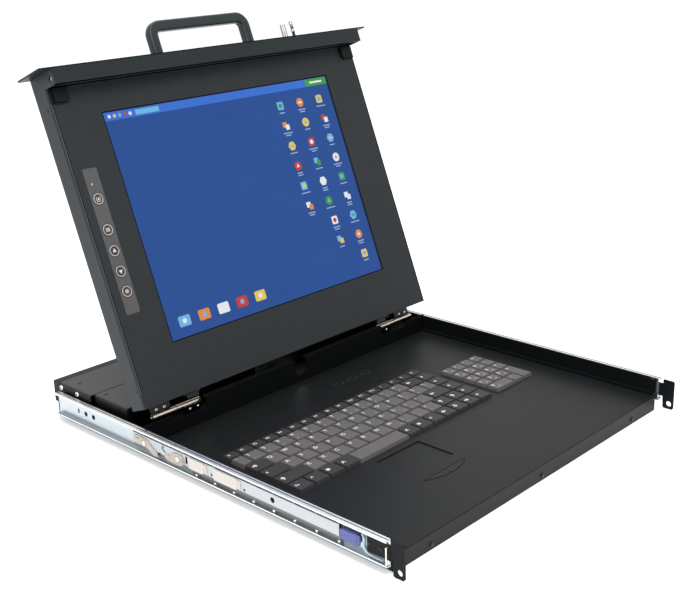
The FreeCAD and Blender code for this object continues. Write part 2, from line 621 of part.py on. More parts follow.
def slide_member():
    """Nested rail: a shallow channel that faces inwards, with its cut-outs and lever pivots."""
    low, high = member_span()
    t, face = MEMBER_T, MEMBER_FACE
    race = face - MEMBER_STEP
    section = [(MEMBER_BACK, low), (race, low), (race, MEMBER_STEP_Z), (face, MEMBER_STEP_Z), (face, high),
               (MEMBER_BACK, high)]
    outer = eased(section, 0.9, 2, (3, 4))
    rail = outline(outer, lambda a, z: V(across(a), MEMBER_Y0, z)).extrude(V(0, MEMBER_Y1 - MEMBER_Y0, 0))
    tools = [box(across(0), across(face - t), MEMBER_Y0 - 1, MEMBER_Y1 + 1,
                 MEMBER_STEP_Z + t, high - t)]
    deep, out = across(face - t - 0.5), across(face + 1)
    tools.append(box(deep, out, 247.6, 250.6, 19.6, 27.2))
    slant = box(deep, out, 280, 287, 22.2, 24.2)
    slant.rotate(V(0, 283.5, 23.2), V(1, 0, 0), 38)
    tools.append(slant)
    tools.append(box(deep, out, 286.4, 291.4, 14.8, 18.6))
    for y, z, r in ((213.3, 20.3, 1.3), (168.7, 20.1, 1.3), (132.0, 23.0, 2.6), (284, 27.0, 1.2)):
        tools.append(hole(r, 4, (across(face) - 3, y, z), (1, 0, 0), 8))
    pivots = [bar(PIVOT_R, LEVER_T + 1.2, (across(face) - 0.2, y, z), (1, 0, 0), 8) for y, z in LEVER_PIVOTS]
    return fuse([cut(rail, tools)] + pivots)


def slide_blocks():
    """Moulded stop blocks fixed on the nested rail, with their thin clips."""
    x = across(MEMBER_FACE)
    blocks = []
    for y0, y1 in STOP_BLOCKS:
        low, high = MEMBER_STEP_Z + 0.5, MEMBER_STEP_Z + 0.5 + STOP_BLOCK_H
        shape = eased([(y0, low), (y1, low), (y1, high), (y0, high)], 1.8, 2)
        block = outline(shape, lambda y, z: V(x, y, z)).extrude(V(STOP_BLOCK_T, 0, 0))
        foot = box(x, x + 0.8, y0 - 3.4, y0 + 1, low + 1.5, high - 1.5)
        blocks.append(fuse([block, foot]))
    return blocks


LEVER_PIVOTS = ((312.2, 22.2), (260.9, 21.3))
LEVER_T = 1.2
LEVER_FIT = 0.12
PIVOT_R = 1.6
LEVER_BOSS_R = 3.6
LEVER_BOSS_RISE = 0.7
STOP_BLOCKS = ((177.0, 209.0), (223.4, 244.8))
STOP_BLOCK_T = 1.9
STOP_BLOCK_H = 10.8
SLIDE_LIP = 1.9
LIP_LEAD = 1.2
GROOVE_W = 0.7
GROOVE_DEPTH = 0.5
MEMBER_BACK = 2.3


def lever(pivot, arm_points, slot):
    """Latch lever: a flat arm with a round boss about its pivot."""
    x = across(MEMBER_FACE) + 0.1
    arm = outline(arm_points, lambda y, z: V(x, y, z)).extrude(V(LEVER_T, 0, 0))
    boss = bar(LEVER_BOSS_R, LEVER_T + LEVER_BOSS_RISE, (x, pivot[0], pivot[1]), (1, 0, 0))
    body = fuse([arm, boss])
    y0, y1, z0, z1 = slot
    pivot_hole = hole(PIVOT_R + LEVER_FIT, 4, (x - 1, pivot[0], pivot[1]), (1, 0, 0))
    return cut(body, [pivot_hole, box(x - 1, x + 3, y0, y1, z0, z1)])


def rear_lever():
    points = [(328.5, 26.6), (322.0, 27.6), (309.0, 26.2), (301.0, 20.6), (293.0, 16.2), (293.0, 13.2),
              (298.6, 13.2), (306.5, 17.6), (316.0, 19.2), (328.5, 21.6)]
    return lever(LEVER_PIVOTS[0], points, (319.0, 325.5, 24.4, 25.4))


def front_lever():
    points = [(278.0, 15.6), (281.0, 17.8), (279.4, 20.8), (273.4, 20.6), (271.0, 24.4), (264.0, 26.6),
              (255.4, 25.8), (253.2, 22.6), (253.2, 17.6), (257.5, 15.4), (268.0, 14.8)]
    return lever(LEVER_PIVOTS[1], points, (254.4, 255.6, 18.6, 23.4))


def ball_cage():
    """Comb strip with an open notch for each ball, and the two rows of balls."""
    y0, y1 = BALL_FIRST - 2.6, BALL_FIRST + (BALL_COUNT - 1) * BALL_PITCH + 8
    low, high = rail_low(), rail_high()
    web = box(across(SLIDE_T + 0.2), across(SLIDE_T + 0.7), y0, y1, low - 1.0, high + 1.0)
    centre = across(SLIDE_D / 2 + 0.1)
    notches, balls = [], []
    for i in range(BALL_COUNT):
        y = BALL_FIRST + i * BALL_PITCH
        for z, beyond in ((low, -2), (high, 2)):
            notches.append(box(across(SLIDE_T), across(SLIDE_D), y - BALL_R - 0.1, y + BALL_R + 0.1,
                               z - math.copysign(1.2, beyond), z + beyond))
            angles = [math.radians(a) for a in (-62, 0, 62)]
            profile = [(BALL_R * math.sin(a), BALL_R * math.cos(a)) for a in angles]
            balls.append(turned((centre, y, z), (1, 0, 0), profile, BALL_SIDES))
    return [cut(web, notches)] + balls


TAB_TRAVEL = 4.5
TAB_LOW = 17.0
TAB_HIGH = 26.2


def release_tab():
    """Sliding release: a guide block in the channel and a ridged finger pad."""
    y0, y1 = 28.7, 50.3
    low, high = member_span()
    guide = box(across(SLIDE_T + 0.3), across(3.6), y0 + TAB_TRAVEL, y1, low + 3, high - 3)
    shape = eased([(y0, TAB_LOW), (y1, TAB_LOW), (y1, TAB_HIGH), (y0, TAB_HIGH)], 1.2, 2)
    pad = outline(shape, lambda y, z: V(across(3.6), y, z)).extrude(V(2.0, 0, 0))
    ridge = box(across(5.6), across(6.0), y0 + 2.5, y0 + 4.0, TAB_LOW + 1.5, TAB_HIGH - 1.5)
    return fuse([guide, pad, ridge])


SPRING_T = 1.6
SPRING_W = 2.0


def stop_spring():
    """Bent spring strip between the release and the ear, lying along the bottom of the channel."""
    x = across(SLIDE_T + 0.3)
    line = [(27.2, 29.0), (25.6, 26.6), (25.0, 24.0), (25.8, 21.0), (25.6, 18.0), (24.4, 15.6), (22.0, 13.8),
            (18.0, 13.0), (12.0, 12.7), (5.4, 12.5)]
    back = []
    for i, (y, z) in enumerate(line):
        y0, z0 = line[max(i - 1, 0)]
        y1, z1 = line[min(i + 1, len(line) - 1)]
        run = math.hypot(y1 - y0, z1 - z0)
        back.append((y - SPRING_T * (z1 - z0) / run, z + SPRING_T * (y1 - y0) / run))
    return outline(line + back[::-1], lambda y, z: V(x, y, z)).extrude(V(SPRING_W, 0, 0))


# ---- hinges ---------------------------------------------------------------------------------
def tray_leaf():
    """Tray half of a hinge: inner barrel and the leaf screwed to the beam."""
    seam = HINGE_IN + (HINGE_OUT - HINGE_IN) / 2 - 0.4
    barrel = bar(BARREL_R, seam - HINGE_IN, (HINGE_IN, HINGE_Y, HINGE_Z), (1, 0, 0), BARREL_SIDES)
    front = HINGE_Y - BARREL_R
    leaf = box(HINGE_IN + 1, HINGE_IN + 1 + LEAF_W, front, front + LEAF_T, HINGE_SCREW_Z - 2.6, HINGE_Z)
    body = fuse([barrel, leaf])
    tools = [hole(PIN_R + PIN_FIT, seam, (HINGE_IN - 1, HINGE_Y, HINGE_Z), (1, 0, 0))]
    tools += [hole(1.1, 5, (x, front - 1, HINGE_SCREW_Z), (0, 1, 0), 4) for x in TRAY_SCREWS_X]
    return cut(body, tools)


def lid_leaf():
    """Lid half of a hinge, in the lid's own frame: outer barrel and the leaf that enters the lid."""
    seam = HINGE_IN + (HINGE_OUT - HINGE_IN) / 2 + 0.4
    barrel = bar(BARREL_R, HINGE_OUT - seam, (seam, 0, 0), (1, 0, 0), BARREL_SIDES)
    leaf = box(HINGE_OUT - 24.5, HINGE_OUT - 1.5, BARREL_R - LEAF_T, BARREL_R, 0, LID_BOTTOM + 12)
    body = fuse([barrel, leaf])
    tools = [hole(PIN_R + PIN_FIT, HINGE_OUT, (seam - 1, 0, 0), (1, 0, 0))]
    tools += [hole(1.1, 5, (x, BARREL_R - LEAF_T - 1, LEAF_SCREW), (0, 1, 0), 4) for x in LID_SCREWS_X]
    return cut(body, tools)


def hinge_pin():
    return bar(PIN_R, HINGE_OUT - HINGE_IN - 1, (HINGE_IN + 0.5, HINGE_Y, HINGE_Z), (1, 0, 0), 8)


# ---- lid, in its own frame (front -Y, up +Z, hinge axis at the origin) -----------------------
def lid_shell():
    """Back, sides with the fascia cheeks, and the bottom edge with its hinge tabs."""
    t = LID_SHEET
    rim = BEZEL_Y + BEZEL_RIM + GAP
    back = box(-LID_HALF, LID_HALF, BACK_Y - t, BACK_Y, LID_BOTTOM, FASCIA_IN)
    side = box(LID_HALF - t, LID_HALF, rim, BACK_Y, LID_BOTTOM, FASCIA_IN)
    cheek = box(LID_HALF - t, LID_HALF, FASCIA_FRONT + FASCIA_T + GAP, BACK_Y, RETURN_LOW, FASCIA_IN)
    corner = lambda m, d: abs(d.x) > 0.99 and m.y < FASCIA_FRONT + 3 and m.z < RETURN_LOW + 1
    cheek = ease_edges(cheek, 2.0, corner)
    bottom = box(-LID_HALF, LID_HALF, rim, BACK_Y, LID_BOTTOM, LID_BOTTOM + t)
    shell = fuse([back, bottom] + both(side) + both(cheek))
    edge = lambda m, d: m.y > BACK_Y - 0.1 and abs(d.z) > 0.99 and abs(m.x) > LID_HALF - 0.1
    shell = ease_edges(shell, 0.6, edge)
    leaf_out, leaf_in = HINGE_OUT - 1.0, HINGE_OUT - 25.0
    tools, tabs = [], []
    for side_sign in (-1, 1):
        tools.append(box(side_sign * leaf_in, side_sign * leaf_out, BARREL_R - LEAF_T - 0.2, BARREL_R + GAP,
                         LID_BOTTOM - 1, LID_BOTTOM + t + 1))
        spot = (side_sign * (LID_HALF - 3), EAR_HOLE_Z - HINGE_Z, HINGE_Y - EAR_HOLE_Y)
        tools.append(cyl(EAR_HOLE_R, 6, spot, (side_sign, 0, 0)))
        for z, y in LID_SIDE_HOLES:
            tools.append(hole(1.2, 6, (side_sign * (LID_HALF - 3), y, z), (side_sign, 0, 0), 4))
        tab_y = BARREL_R - LEAF_T
        tab = box(side_sign * leaf_in, side_sign * leaf_out, tab_y - t - 0.3, tab_y - 0.3,
                  4.2, LID_BOTTOM + t)
        holes = [hole(1.1, 6, (side_sign * x, -2, LEAF_SCREW), (0, 1, 0), 4) for x in LID_SCREWS_X]
        tabs.append(cut(tab, holes))
        tabs.append(box(side_sign * HINGE_IN, side_sign * (HINGE_IN + 20), -6, -1, 8.5, LID_BOTTOM + t))
    for row in range(3):
        z = 60 + row * 12
        for x in (-110, 110):
            tools.append(box(x - 60, x + 60, BACK_Y - 3, BACK_Y + 1, z, z + 4))
    tools.append(box(-9, 9, -9, 2, LID_BOTTOM - 1, LID_BOTTOM + t + 1))
    return fuse([cut(shell, tools)] + tabs)


LID_SIDE_HOLES = ((314.0, -8.4), (30.4, -9.9))


def lid_bezel():
    """Front frame of the lid with its folded rim, picture window and control pocket."""
    top = FASCIA_IN - GAP
    face = box(-LID_HALF, LID_HALF, BEZEL_Y, BEZEL_Y + BEZEL_T, LID_BOTTOM, RETURN_LOW - GAP)
    inside = LID_HALF - LID_SHEET - GAP
    inner = box(-inside, inside, BEZEL_Y, BEZEL_Y + BEZEL_T, LID_BOTTOM, top)
    rim = box(LID_HALF - BEZEL_T, LID_HALF, BEZEL_Y, BEZEL_Y + BEZEL_RIM, LID_BOTTOM, RETURN_LOW - GAP)
    foot = box(-LID_HALF, LID_HALF, BEZEL_Y, BEZEL_Y + BEZEL_RIM, LID_BOTTOM, LID_BOTTOM + BEZEL_T)
    bezel = fuse([face, inner, foot] + both(rim))
    on_edge = lambda m, d: m.y < BEZEL_Y + 0.05 and abs(m.x) > LID_HALF - 0.1 and abs(d.z) > 0.99
    bezel = ease_edges(bezel, 0.6, on_edge)
    tools = [box(-SCREEN_W / 2, SCREEN_W / 2, BEZEL_Y - 1, BEZEL_Y + 3, SCREEN_LOW, SCREEN_LOW + SCREEN_H)]
    tools.append(box(OSD_X - OSD_W / 2, OSD_X + OSD_W / 2, BEZEL_Y - 1, BEZEL_Y + 0.6, OSD_LOW, OSD_HIGH))
    tools += [hole(2.3, 5, (OSD_X, BEZEL_Y, z), (0, 1, 0), 6) for z in OSD_KEYS]
    return cut(bezel, tools)


def lcd_panel():
    """Display module behind the window: glass, bent-steel surround and lamp housings."""
    y = BEZEL_Y + BEZEL_T
    w, low, high = SCREEN_W / 2 + LCD_BORDER, SCREEN_LOW - LCD_BORDER, SCREEN_LOW + SCREEN_H + LCD_BORDER
    body = box(-w, w, y, y + LCD_T, low, high)
    lamps = [box(-w + 6, w - 6, y + LCD_T, y + LCD_T + 2, z, z + 9) for z in (low + 4, high - 13)]
    spots = [(side, z) for side in (-1, 1) for z in (low + 30, high - 30)]
    tabs = [box(side * w, side * (w + 9), y + 2.5, y + 4, z - 6, z + 6) for side, z in spots]
    return fuse([body] + lamps + tabs)


def lcd_driver_board():
    """Panel controller board on standoffs at the back of the lid."""
    y = BACK_Y - LID_SHEET - 4
    x0, x1, z0, z1 = -60, 60, 150, 240
    board = box(x0, x1, y - 1.6, y, z0, z1)
    chip = box(x0 + 12, x0 + 32, y - 3, y - 1.5, z0 + 8, z0 + 24)
    feet = [bar(2.2, 4, (x, y, z), (0, 1, 0), 4) for x in (x0 + 5, x1 - 5) for z in (z0 + 4, z1 - 4)]
    return [fuse([board, chip] + feet)]


def fascia_plate():
    """One-unit front plate across the lid's end, with the return flange over the screen side."""
    plate = box(-FASCIA_HALF, FASCIA_HALF, FASCIA_FRONT, FASCIA_FRONT + FASCIA_H, FASCIA_IN, FASCIA_TOP)
    flange = box(-LID_HALF, LID_HALF, FASCIA_FRONT, FASCIA_FRONT + FASCIA_T, RETURN_LOW, FASCIA_TOP)
    body = fuse([plate, flange])
    ends = lambda m, d: abs(d.z) > 0.99 and abs(m.x) > FASCIA_HALF - 0.1
    body = ease_edges(body, 1.4, ends)
    bend = lambda m, d: abs(d.x) > 0.99 and m.y < FASCIA_FRONT + 0.1 and m.z > FASCIA_TOP - 0.1
    body = ease_edges(body, 0.7, bend)
    foot = (HANDLE_W - HANDLE_BAR) / 2
    tools = [hole(2.1, 4, (x, HANDLE_Y, FASCIA_IN - 1), (0, 0, 1)) for x in (-foot, foot)]
    tools.append(hole(POST_HOLE_R, 4, (THUMB_X, HANDLE_Y, FASCIA_IN - 1), (0, 0, 1)))
    tools.append(hole(POST_HOLE_R, 4, (PLUNGER_X, HANDLE_Y, FASCIA_IN - 1), (0, 0, 1)))
    return cut(body, tools)


THUMB_X = 122.0
PLUNGER_X = 136.0
POST_HOLE_R = 2.0
POST_FIT = 0.3
POST_TRAVEL = 5.0
THUMB_R = 3.2
THUMB_H = 21.2
PLUNGER_R = 2.2
PLUNGER_NECK = 10.4
PLUNGER_H = 23.4


def handle():
    """Bail handle: a bar of eased rectangular section, bent round at both corners."""
    wide, deep, ease = HANDLE_BAR / 2, HANDLE_D / 2, HANDLE_EASE
    section = [(wide, ease - deep), (wide, deep - ease), (wide - ease, deep), (ease - wide, deep),
               (-wide, deep - ease), (-wide, ease - deep), (ease - wide, -deep), (wide - ease, -deep)]
    middle, high = HANDLE_W / 2 - wide, HANDLE_H - wide
    path = [(middle, 0, 0)]
    for i in range(HANDLE_STEPS + 1):
        turn = math.pi / 2 * i / HANDLE_STEPS
        x = middle - HANDLE_BEND * (1 - math.cos(turn))
        z = high - HANDLE_BEND * (1 - math.sin(turn))
        path.append((x, z, turn))
    path += [(-x, z, math.pi - turn) for x, z, turn in reversed(path)]
    rings = []
    for x, z, turn in path:
        spot = V(x, HANDLE_Y, FASCIA_TOP + z)
        rings.append([spot + V(a * math.cos(turn), b, a * math.sin(turn)) for a, b in section])
    body = stack(rings)
    side_holes = [hole(1.7, 10, (side * middle, HANDLE_Y, FASCIA_TOP - 1), (0, 0, 1), 6) for side in (-1, 1)]
    return cut(body, side_holes)


def latch_block():
    """Rubber-faced stop block at a lid corner; it meets the deck when the lid is shut."""
    depth = BEZEL_Z - DECK_TOP - GAP
    x0, x1 = LID_HALF - 20.6, DECK_HALF - GAP
    low, high = RETURN_LOW - 14.6, RETURN_LOW - 0.6
    block = box(x0, x1, BEZEL_Y - depth, BEZEL_Y, low, high)
    block = ease_edges(block, 2.0, lambda m, d: abs(d.y) > 0.99 and m.x < x0 + 0.1 and m.z < low + 1)
    foot = box(x1, LID_HALF - 0.6, BEZEL_Y - BEZEL_Z + LEDGE_TOP + GAP, BEZEL_Y, low, high)
    return fuse([block, foot])


def osd_overlay():
    """Control label strip in the bezel's pocket, open around the push buttons and the lamp."""
    y0, y1 = BEZEL_Y - 0.2, BEZEL_Y + 0.6
    strip = box(OSD_X - OSD_W / 2 + 0.2, OSD_X + OSD_W / 2 - 0.2, y0, y1, OSD_LOW + 0.2, OSD_HIGH - 0.2)
    strip = ease_edges(strip, 1.0, lambda m, d: abs(d.y) > 0.99)
    tools = [hole(OSD_R + GAP, 3, (OSD_X, BEZEL_Y - 1, z), (0, 1, 0), OSD_SIDES) for z in OSD_KEYS]
    tools.append(hole(1.2, 3, (OSD_X - 2, BEZEL_Y - 1, OSD_LED), (0, 1, 0)))
    return cut(strip, tools)


def osd_button(z):
    """Domed push button with the stem that reaches through the bezel."""
    cap = turned((OSD_X, BEZEL_Y - 0.1, z), (0, -1, 0), [(0, OSD_R), (0.6, OSD_R - 0.4)], OSD_SIDES)
    stem = bar(2.0, 3.6, (OSD_X, BEZEL_Y - 0.4, z), (0, 1, 0), 6)
    return fuse([cap, stem])


def thumbscrew():
    """Captive slotted screw through the fascia."""
    foot = (THUMB_X, HANDLE_Y, FASCIA_TOP)
    shank = turned(foot, (0, 0, 1), [(-9, POST_HOLE_R - POST_FIT), (2, POST_HOLE_R - POST_FIT)], 8)
    head = turned(foot, (0, 0, 1), [(1.2, THUMB_R - 0.5), (1.7, THUMB_R), (THUMB_H - 0.6, THUMB_R),
                                    (THUMB_H, THUMB_R - 0.6)], 10)
    collar = turned(foot, (0, 0, 1), [(-FASCIA_T - 3.2, 3.0), (-FASCIA_T - 2.0, 3.0)], 8)
    slot = box(THUMB_X - 4, THUMB_X + 4, HANDLE_Y - 0.5, HANDLE_Y + 0.5,
               FASCIA_TOP + THUMB_H - 2, FASCIA_TOP + 30)
    return fuse([shank, head, collar]).cut(slot)


def release_plunger():
    """Spring plunger through the fascia: bright knob on a slim neck, pulled outwards."""
    foot = (PLUNGER_X, HANDLE_Y, FASCIA_TOP)
    shank = turned(foot, (0, 0, 1), [(-9, POST_HOLE_R - POST_FIT), (12, POST_HOLE_R - POST_FIT)], 8)
    knob = turned(foot, (0, 0, 1), [(PLUNGER_NECK, PLUNGER_R - 0.5), (PLUNGER_NECK + 0.5, PLUNGER_R),
                                    (PLUNGER_H - 0.6, PLUNGER_R), (PLUNGER_H, PLUNGER_R - 0.6)], 10)
    low = -FASCIA_T - POST_TRAVEL - 1.6
    stop = turned(foot, (0, 0, 1), [(low, 3.0), (low + 1.2, 3.0)], 8)
    return fuse([shank, knob, stop])


def lid_screws():
    """Handle screws, lid side screws and lid-side hinge screws."""
    out = []
    for side in (-1, 1):
        x = side * (HANDLE_W - HANDLE_BAR) / 2
        out.append(screw((x, HANDLE_Y, FASCIA_IN), (0, 0, -1), 3.4, 2.2, 1.6, 9))
        for z, y in LID_SIDE_HOLES:
            out.append(screw((side * LID_HALF, y, z), (side, 0, 0), 1.9, 0.4, 1.1, 3))
        seat = BARREL_R - LEAF_T - LID_SHEET - 0.3
        out += [screw((side * x, seat, LEAF_SCREW), (0, -1, 0), 2.0, 1.2, 1.0, 3) for x in LID_SCREWS_X]
    return out


# ---- keyboard -------------------------------------------------------------------------------
MAIN_ROWS = (            # widths of the keys of each row, in units, from the front row back
    (1.05, 1.05, 1.05, 1.05, 3.75, 1.0, 1.01, 1.01, 1.01, 1.01, 1.01),
    (1.95,) + (1.0,) * 10 + (1.05, 1.0),
    (1.45,) + (1.0,) * 11 + (1.55,),
    (1.2,) + (1.0,) * 12 + (0.8,),
    (0.75,) + (1.0,) * 12 + (1.25,),
)
LEFT_MODIFIERS = (4, 1, 1, 1, 0)     # how many keys at the left end of each row are modifiers
RIGHT_MODIFIERS = (6, 2, 1, 0, 1)
FN_KEYS = 17
NUMBER_KEYS = (          # column, row, width and height of each number key, in cells
    (0, 0, 2, 1), (2, 0, 1, 1), (3, 0, 1, 2), (0, 1, 1, 1), (1, 1, 1, 1), (2, 1, 1, 1)) + tuple(
    (column, row, 1, 1) for row in (2, 3, 4) for column in range(4))


def keycap(x, y, w, d):
    """Tapered keycap on its square stem; x, y are its front left corner."""
    def level(inset, z):
        x0, x1, y0, y1 = x + inset, x + w - inset, y + inset, y + d - inset * 0.7
        return [V(x0, y0, z), V(x1, y0, z), V(x1, y1, z), V(x0, y1, z)]
    cap = stack([level(0, KEY_BOTTOM), level(KEY_TAPER, KEY_TOP)])
    cx, cy = x + w / 2, y + d / 2
    stem = box(cx - STEM / 2, cx + STEM / 2, cy - STEM / 2, cy + STEM / 2, FRAME_TOP - 0.8, KEY_BOTTOM)
    return cap.fuse(stem)


def main_keys():
    """Key rectangles (x, y, w, d) by group name."""
    groups = {name: [] for name in ("function_keys", "letter_keys", "modifier_keys_left", "space_bar",
                                    "modifier_keys_right", "navigation_keys")}
    for row, widths in enumerate(MAIN_ROWS):
        x = KEYS_X
        y = KEYS_Y + row * UNIT
        for index, units in enumerate(widths):
            name = "letter_keys" if row else "space_bar"
            if index < LEFT_MODIFIERS[row]:
                name = "modifier_keys_left"
            if index >= len(widths) - RIGHT_MODIFIERS[row]:
                name = "modifier_keys_right"
            groups[name].append((x, y, units * UNIT - KEY_GAP, UNIT - KEY_GAP))
            x += units * UNIT
        groups["navigation_keys"].append((KEYS_X + 14 * UNIT, y, UNIT - KEY_GAP, UNIT - KEY_GAP))
    pitch = (KEYS_W + KEY_GAP) / FN_KEYS
    y = KEYS_Y + 5 * UNIT
    for index in range(FN_KEYS):
        groups["function_keys"].append((KEYS_X + index * pitch, y, pitch - KEY_GAP, FN_DEPTH - KEY_GAP))
    return groups


def number_keys():
    return [(NUM_X + column * NUM_UNIT, NUM_Y + row * NUM_PITCH_Y, wide * NUM_UNIT - KEY_GAP,
             tall * NUM_PITCH_Y - KEY_GAP) for column, row, wide, tall in NUMBER_KEYS]


def key_frame(keys):
    """Tray under a key field, with a guide slot for the stems of each row; its rim meets the deck."""
    x0, x1 = min(k[0] for k in keys) - 5, max(k[0] + k[2] for k in keys) + 5
    y0, y1 = min(k[1] for k in keys) - 5, max(k[1] + k[3] for k in keys) + 5
    tray = box(x0, x1, y0, y1, FRAME_TOP - FRAME_T, DECK_UNDER)
    tray = tray.cut(box(x0 + 3, x1 - 3, y0 + 3, y1 - 3, FRAME_TOP, DECK_UNDER + 1))
    half = STEM / 2 + STEM_PLAY
    rows = sorted({round(y + d / 2, 3) for x, y, w, d in keys})
    slots = []
    for middle in rows:
        spots = [x + w / 2 for x, y, w, d in keys if abs(y + d / 2 - middle) < 0.01]
        slots.append(box(min(spots) - half, max(spots) + half, middle - half, middle + half,
                         FRAME_TOP - 3, FRAME_TOP + 1))
    return cut(tray, slots)


def touchpad_module():
    """Pointing surface set below the deck, on the carrier that also holds the buttons."""
    carrier = box(PAD_X0 - 3, PAD_X1 + 3, BUTTON_Y - BUTTON_DEPTH - 4, PAD_Y1 + 3,
                  DECK_UNDER - 3.4, DECK_UNDER - 2.2)
    rim = box(PAD_X0 - 3, PAD_X1 + 3, PAD_Y0 - 3, PAD_Y1 + 3, DECK_UNDER - 2.2, DECK_UNDER)
    pad = box(PAD_X0 + GAP, PAD_X1 - GAP, PAD_Y0 + GAP, PAD_Y1 - GAP, DECK_UNDER - 1, DECK_TOP - PAD_DEPTH)
    return fuse([carrier, rim, pad])


def touchpad_button(side):
    """One half of the half-moon pair, with a small gap at the split."""
    mid = (PAD_X0 + PAD_X1) / 2
    whole = moon(GAP).extrude(V(0, 0, DECK_T + 1.4))
    x0, x1 = (PAD_X0 - 1, mid - 0.2) if side < 0 else (mid + 0.2, PAD_X1 + 1)
    return whole.common(box(x0, x1, 0, BUTTON_Y + 5, 0, DECK_TOP + 5))


def indicator_lenses():
    """Three lamp windows let into the deck."""
    return [box(x - 5.2, x + 5.2, INDICATOR_Y - 1.5, INDICATOR_Y + 1.5, DECK_UNDER - 1, DECK_TOP + 0.2)
            for x in INDICATORS_X]


# ---- build ----------------------------------------------------------------------------------
def main():
    os.makedirs("parts", exist_ok=True)
    save("base_pan", [base_pan()])
    save("deck_panel", [deck_panel()])
    save("hinge_beam", [hinge_beam()])
    save("front_cover", [front_cover()])
    save("rear_cover", [rear_cover()])
    save("rear_panel", [rear_panel()])
    save("power_inlet", [power_inlet()])
    save("signal_connectors", signal_connectors())
    save("psu_module", [psu_module()])
    save("controller_board", [controller_board()])
    save("tray_screws", tray_screws())
    save("stop_springs", both(stop_spring()))
    save("hinge_tray_leaves", both(tray_leaf()))
    save("hinge_pins", both(hinge_pin()))
    sided = {"ear_bracket": [ear_bracket()], "slide_channel": [slide_channel()],
             "slide_member": [slide_member()], "slide_blocks": slide_blocks(), "ball_cage": ball_cage(),
             "release_tab": [release_tab()], "rear_lever": [rear_lever()],
             "front_lever": [front_lever()]}
    for name, shapes in sided.items():
        save(f"right_{name}", shapes)
        save(f"left_{name}", [mirrored(shape) for shape in shapes])

    save("lid_shell", [stand_lid(lid_shell())])
    save("lid_bezel", [stand_lid(lid_bezel())])
    save("lcd_panel", [stand_lid(lcd_panel())])
    save("lcd_driver_board", [stand_lid(shape) for shape in lcd_driver_board()])
    save("fascia_plate", [stand_lid(fascia_plate())])
    save("handle", [stand_lid(handle())])
    save("latch_blocks", [stand_lid(shape) for shape in both(latch_block())])
    save("osd_overlay", [stand_lid(osd_overlay())])
    for number, z in enumerate(OSD_KEYS, 1):
        save(f"osd_button_{number}", [stand_lid(osd_button(z))])
    save("thumbscrew", [stand_lid(thumbscrew())])
    save("release_plunger", [stand_lid(release_plunger())])
    save("lid_screws", [stand_lid(shape) for shape in lid_screws()])
    save("hinge_lid_leaves", [stand_lid(shape) for shape in both(lid_leaf())])

    groups = main_keys()
    for name, keys in groups.items():
        save(name, [keycap(*key) for key in keys])
    numbers = number_keys()
    save("number_pad_keys", [keycap(*key) for key in numbers])
    save("keyboard_frame", [key_frame([key for keys in groups.values() for key in keys])])
    save("number_pad_frame", [key_frame(numbers)])
    save("touchpad_module", [touchpad_module()])
    save("left_touchpad_button", [touchpad_button(-1)])
    save("right_touchpad_button", [touchpad_button(1)])
    save("indicator_lenses", indicator_lenses())


main()
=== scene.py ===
"""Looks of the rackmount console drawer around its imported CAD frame. Metres, row frame."""
import bpy
import bmesh
import json
import math
from mathutils import Matrix, Vector


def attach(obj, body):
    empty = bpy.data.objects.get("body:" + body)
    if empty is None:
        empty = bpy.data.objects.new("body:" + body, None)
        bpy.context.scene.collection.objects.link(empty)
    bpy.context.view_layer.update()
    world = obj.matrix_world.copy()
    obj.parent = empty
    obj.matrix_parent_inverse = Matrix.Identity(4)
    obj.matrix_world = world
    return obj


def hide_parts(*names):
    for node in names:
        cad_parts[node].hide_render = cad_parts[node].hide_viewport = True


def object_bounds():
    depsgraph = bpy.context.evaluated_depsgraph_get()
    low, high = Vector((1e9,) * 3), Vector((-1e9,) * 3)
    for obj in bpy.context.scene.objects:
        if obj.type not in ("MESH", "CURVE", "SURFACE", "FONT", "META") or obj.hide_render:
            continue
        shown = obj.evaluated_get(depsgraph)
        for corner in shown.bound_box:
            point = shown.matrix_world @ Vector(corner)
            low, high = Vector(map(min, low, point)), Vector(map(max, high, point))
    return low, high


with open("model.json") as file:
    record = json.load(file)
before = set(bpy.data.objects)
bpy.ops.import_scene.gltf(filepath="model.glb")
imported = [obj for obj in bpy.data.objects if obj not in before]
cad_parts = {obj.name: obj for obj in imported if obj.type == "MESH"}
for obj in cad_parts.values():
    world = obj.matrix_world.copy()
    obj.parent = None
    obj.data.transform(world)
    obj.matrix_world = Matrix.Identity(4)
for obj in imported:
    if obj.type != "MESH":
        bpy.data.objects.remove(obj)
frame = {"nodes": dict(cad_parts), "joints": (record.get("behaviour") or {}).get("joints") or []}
CAD_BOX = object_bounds()
NODES = frame["nodes"]
JOINTS = {j["name"]: j for j in frame["joints"]}

HINGE = Vector(JOINTS["lid_hinge"]["pos_m"])
LEAN = math.radians(20.9)
ORIGIN_Y = 239.5
LID = Matrix.Translation(HINGE) @ Matrix.Rotation(-LEAN, 4, "X")


def tray_mm(x, y, z):
    """Tray millimetres, Y from the face of the front lip, to the row frame."""
    return Vector((x, y - ORIGIN_Y, z)) / 1000


def lid_mm(x, y, z):
    """Lid millimetres (front -Y, up +Z, hinge axis at the origin) to the row frame."""
    return LID @ (Vector((x, y, z)) / 1000)


# ---- materials --------------------------------------------------------------------------
def srgb(r, g, b):
    """Linear colour of 8-bit sRGB values."""
    def lin(c):
        c /= 255
        return c / 12.92 if c <= 0.04045 else ((c + 0.055) / 1.055) ** 2.4
    return (lin(r), lin(g), lin(b), 1.0)


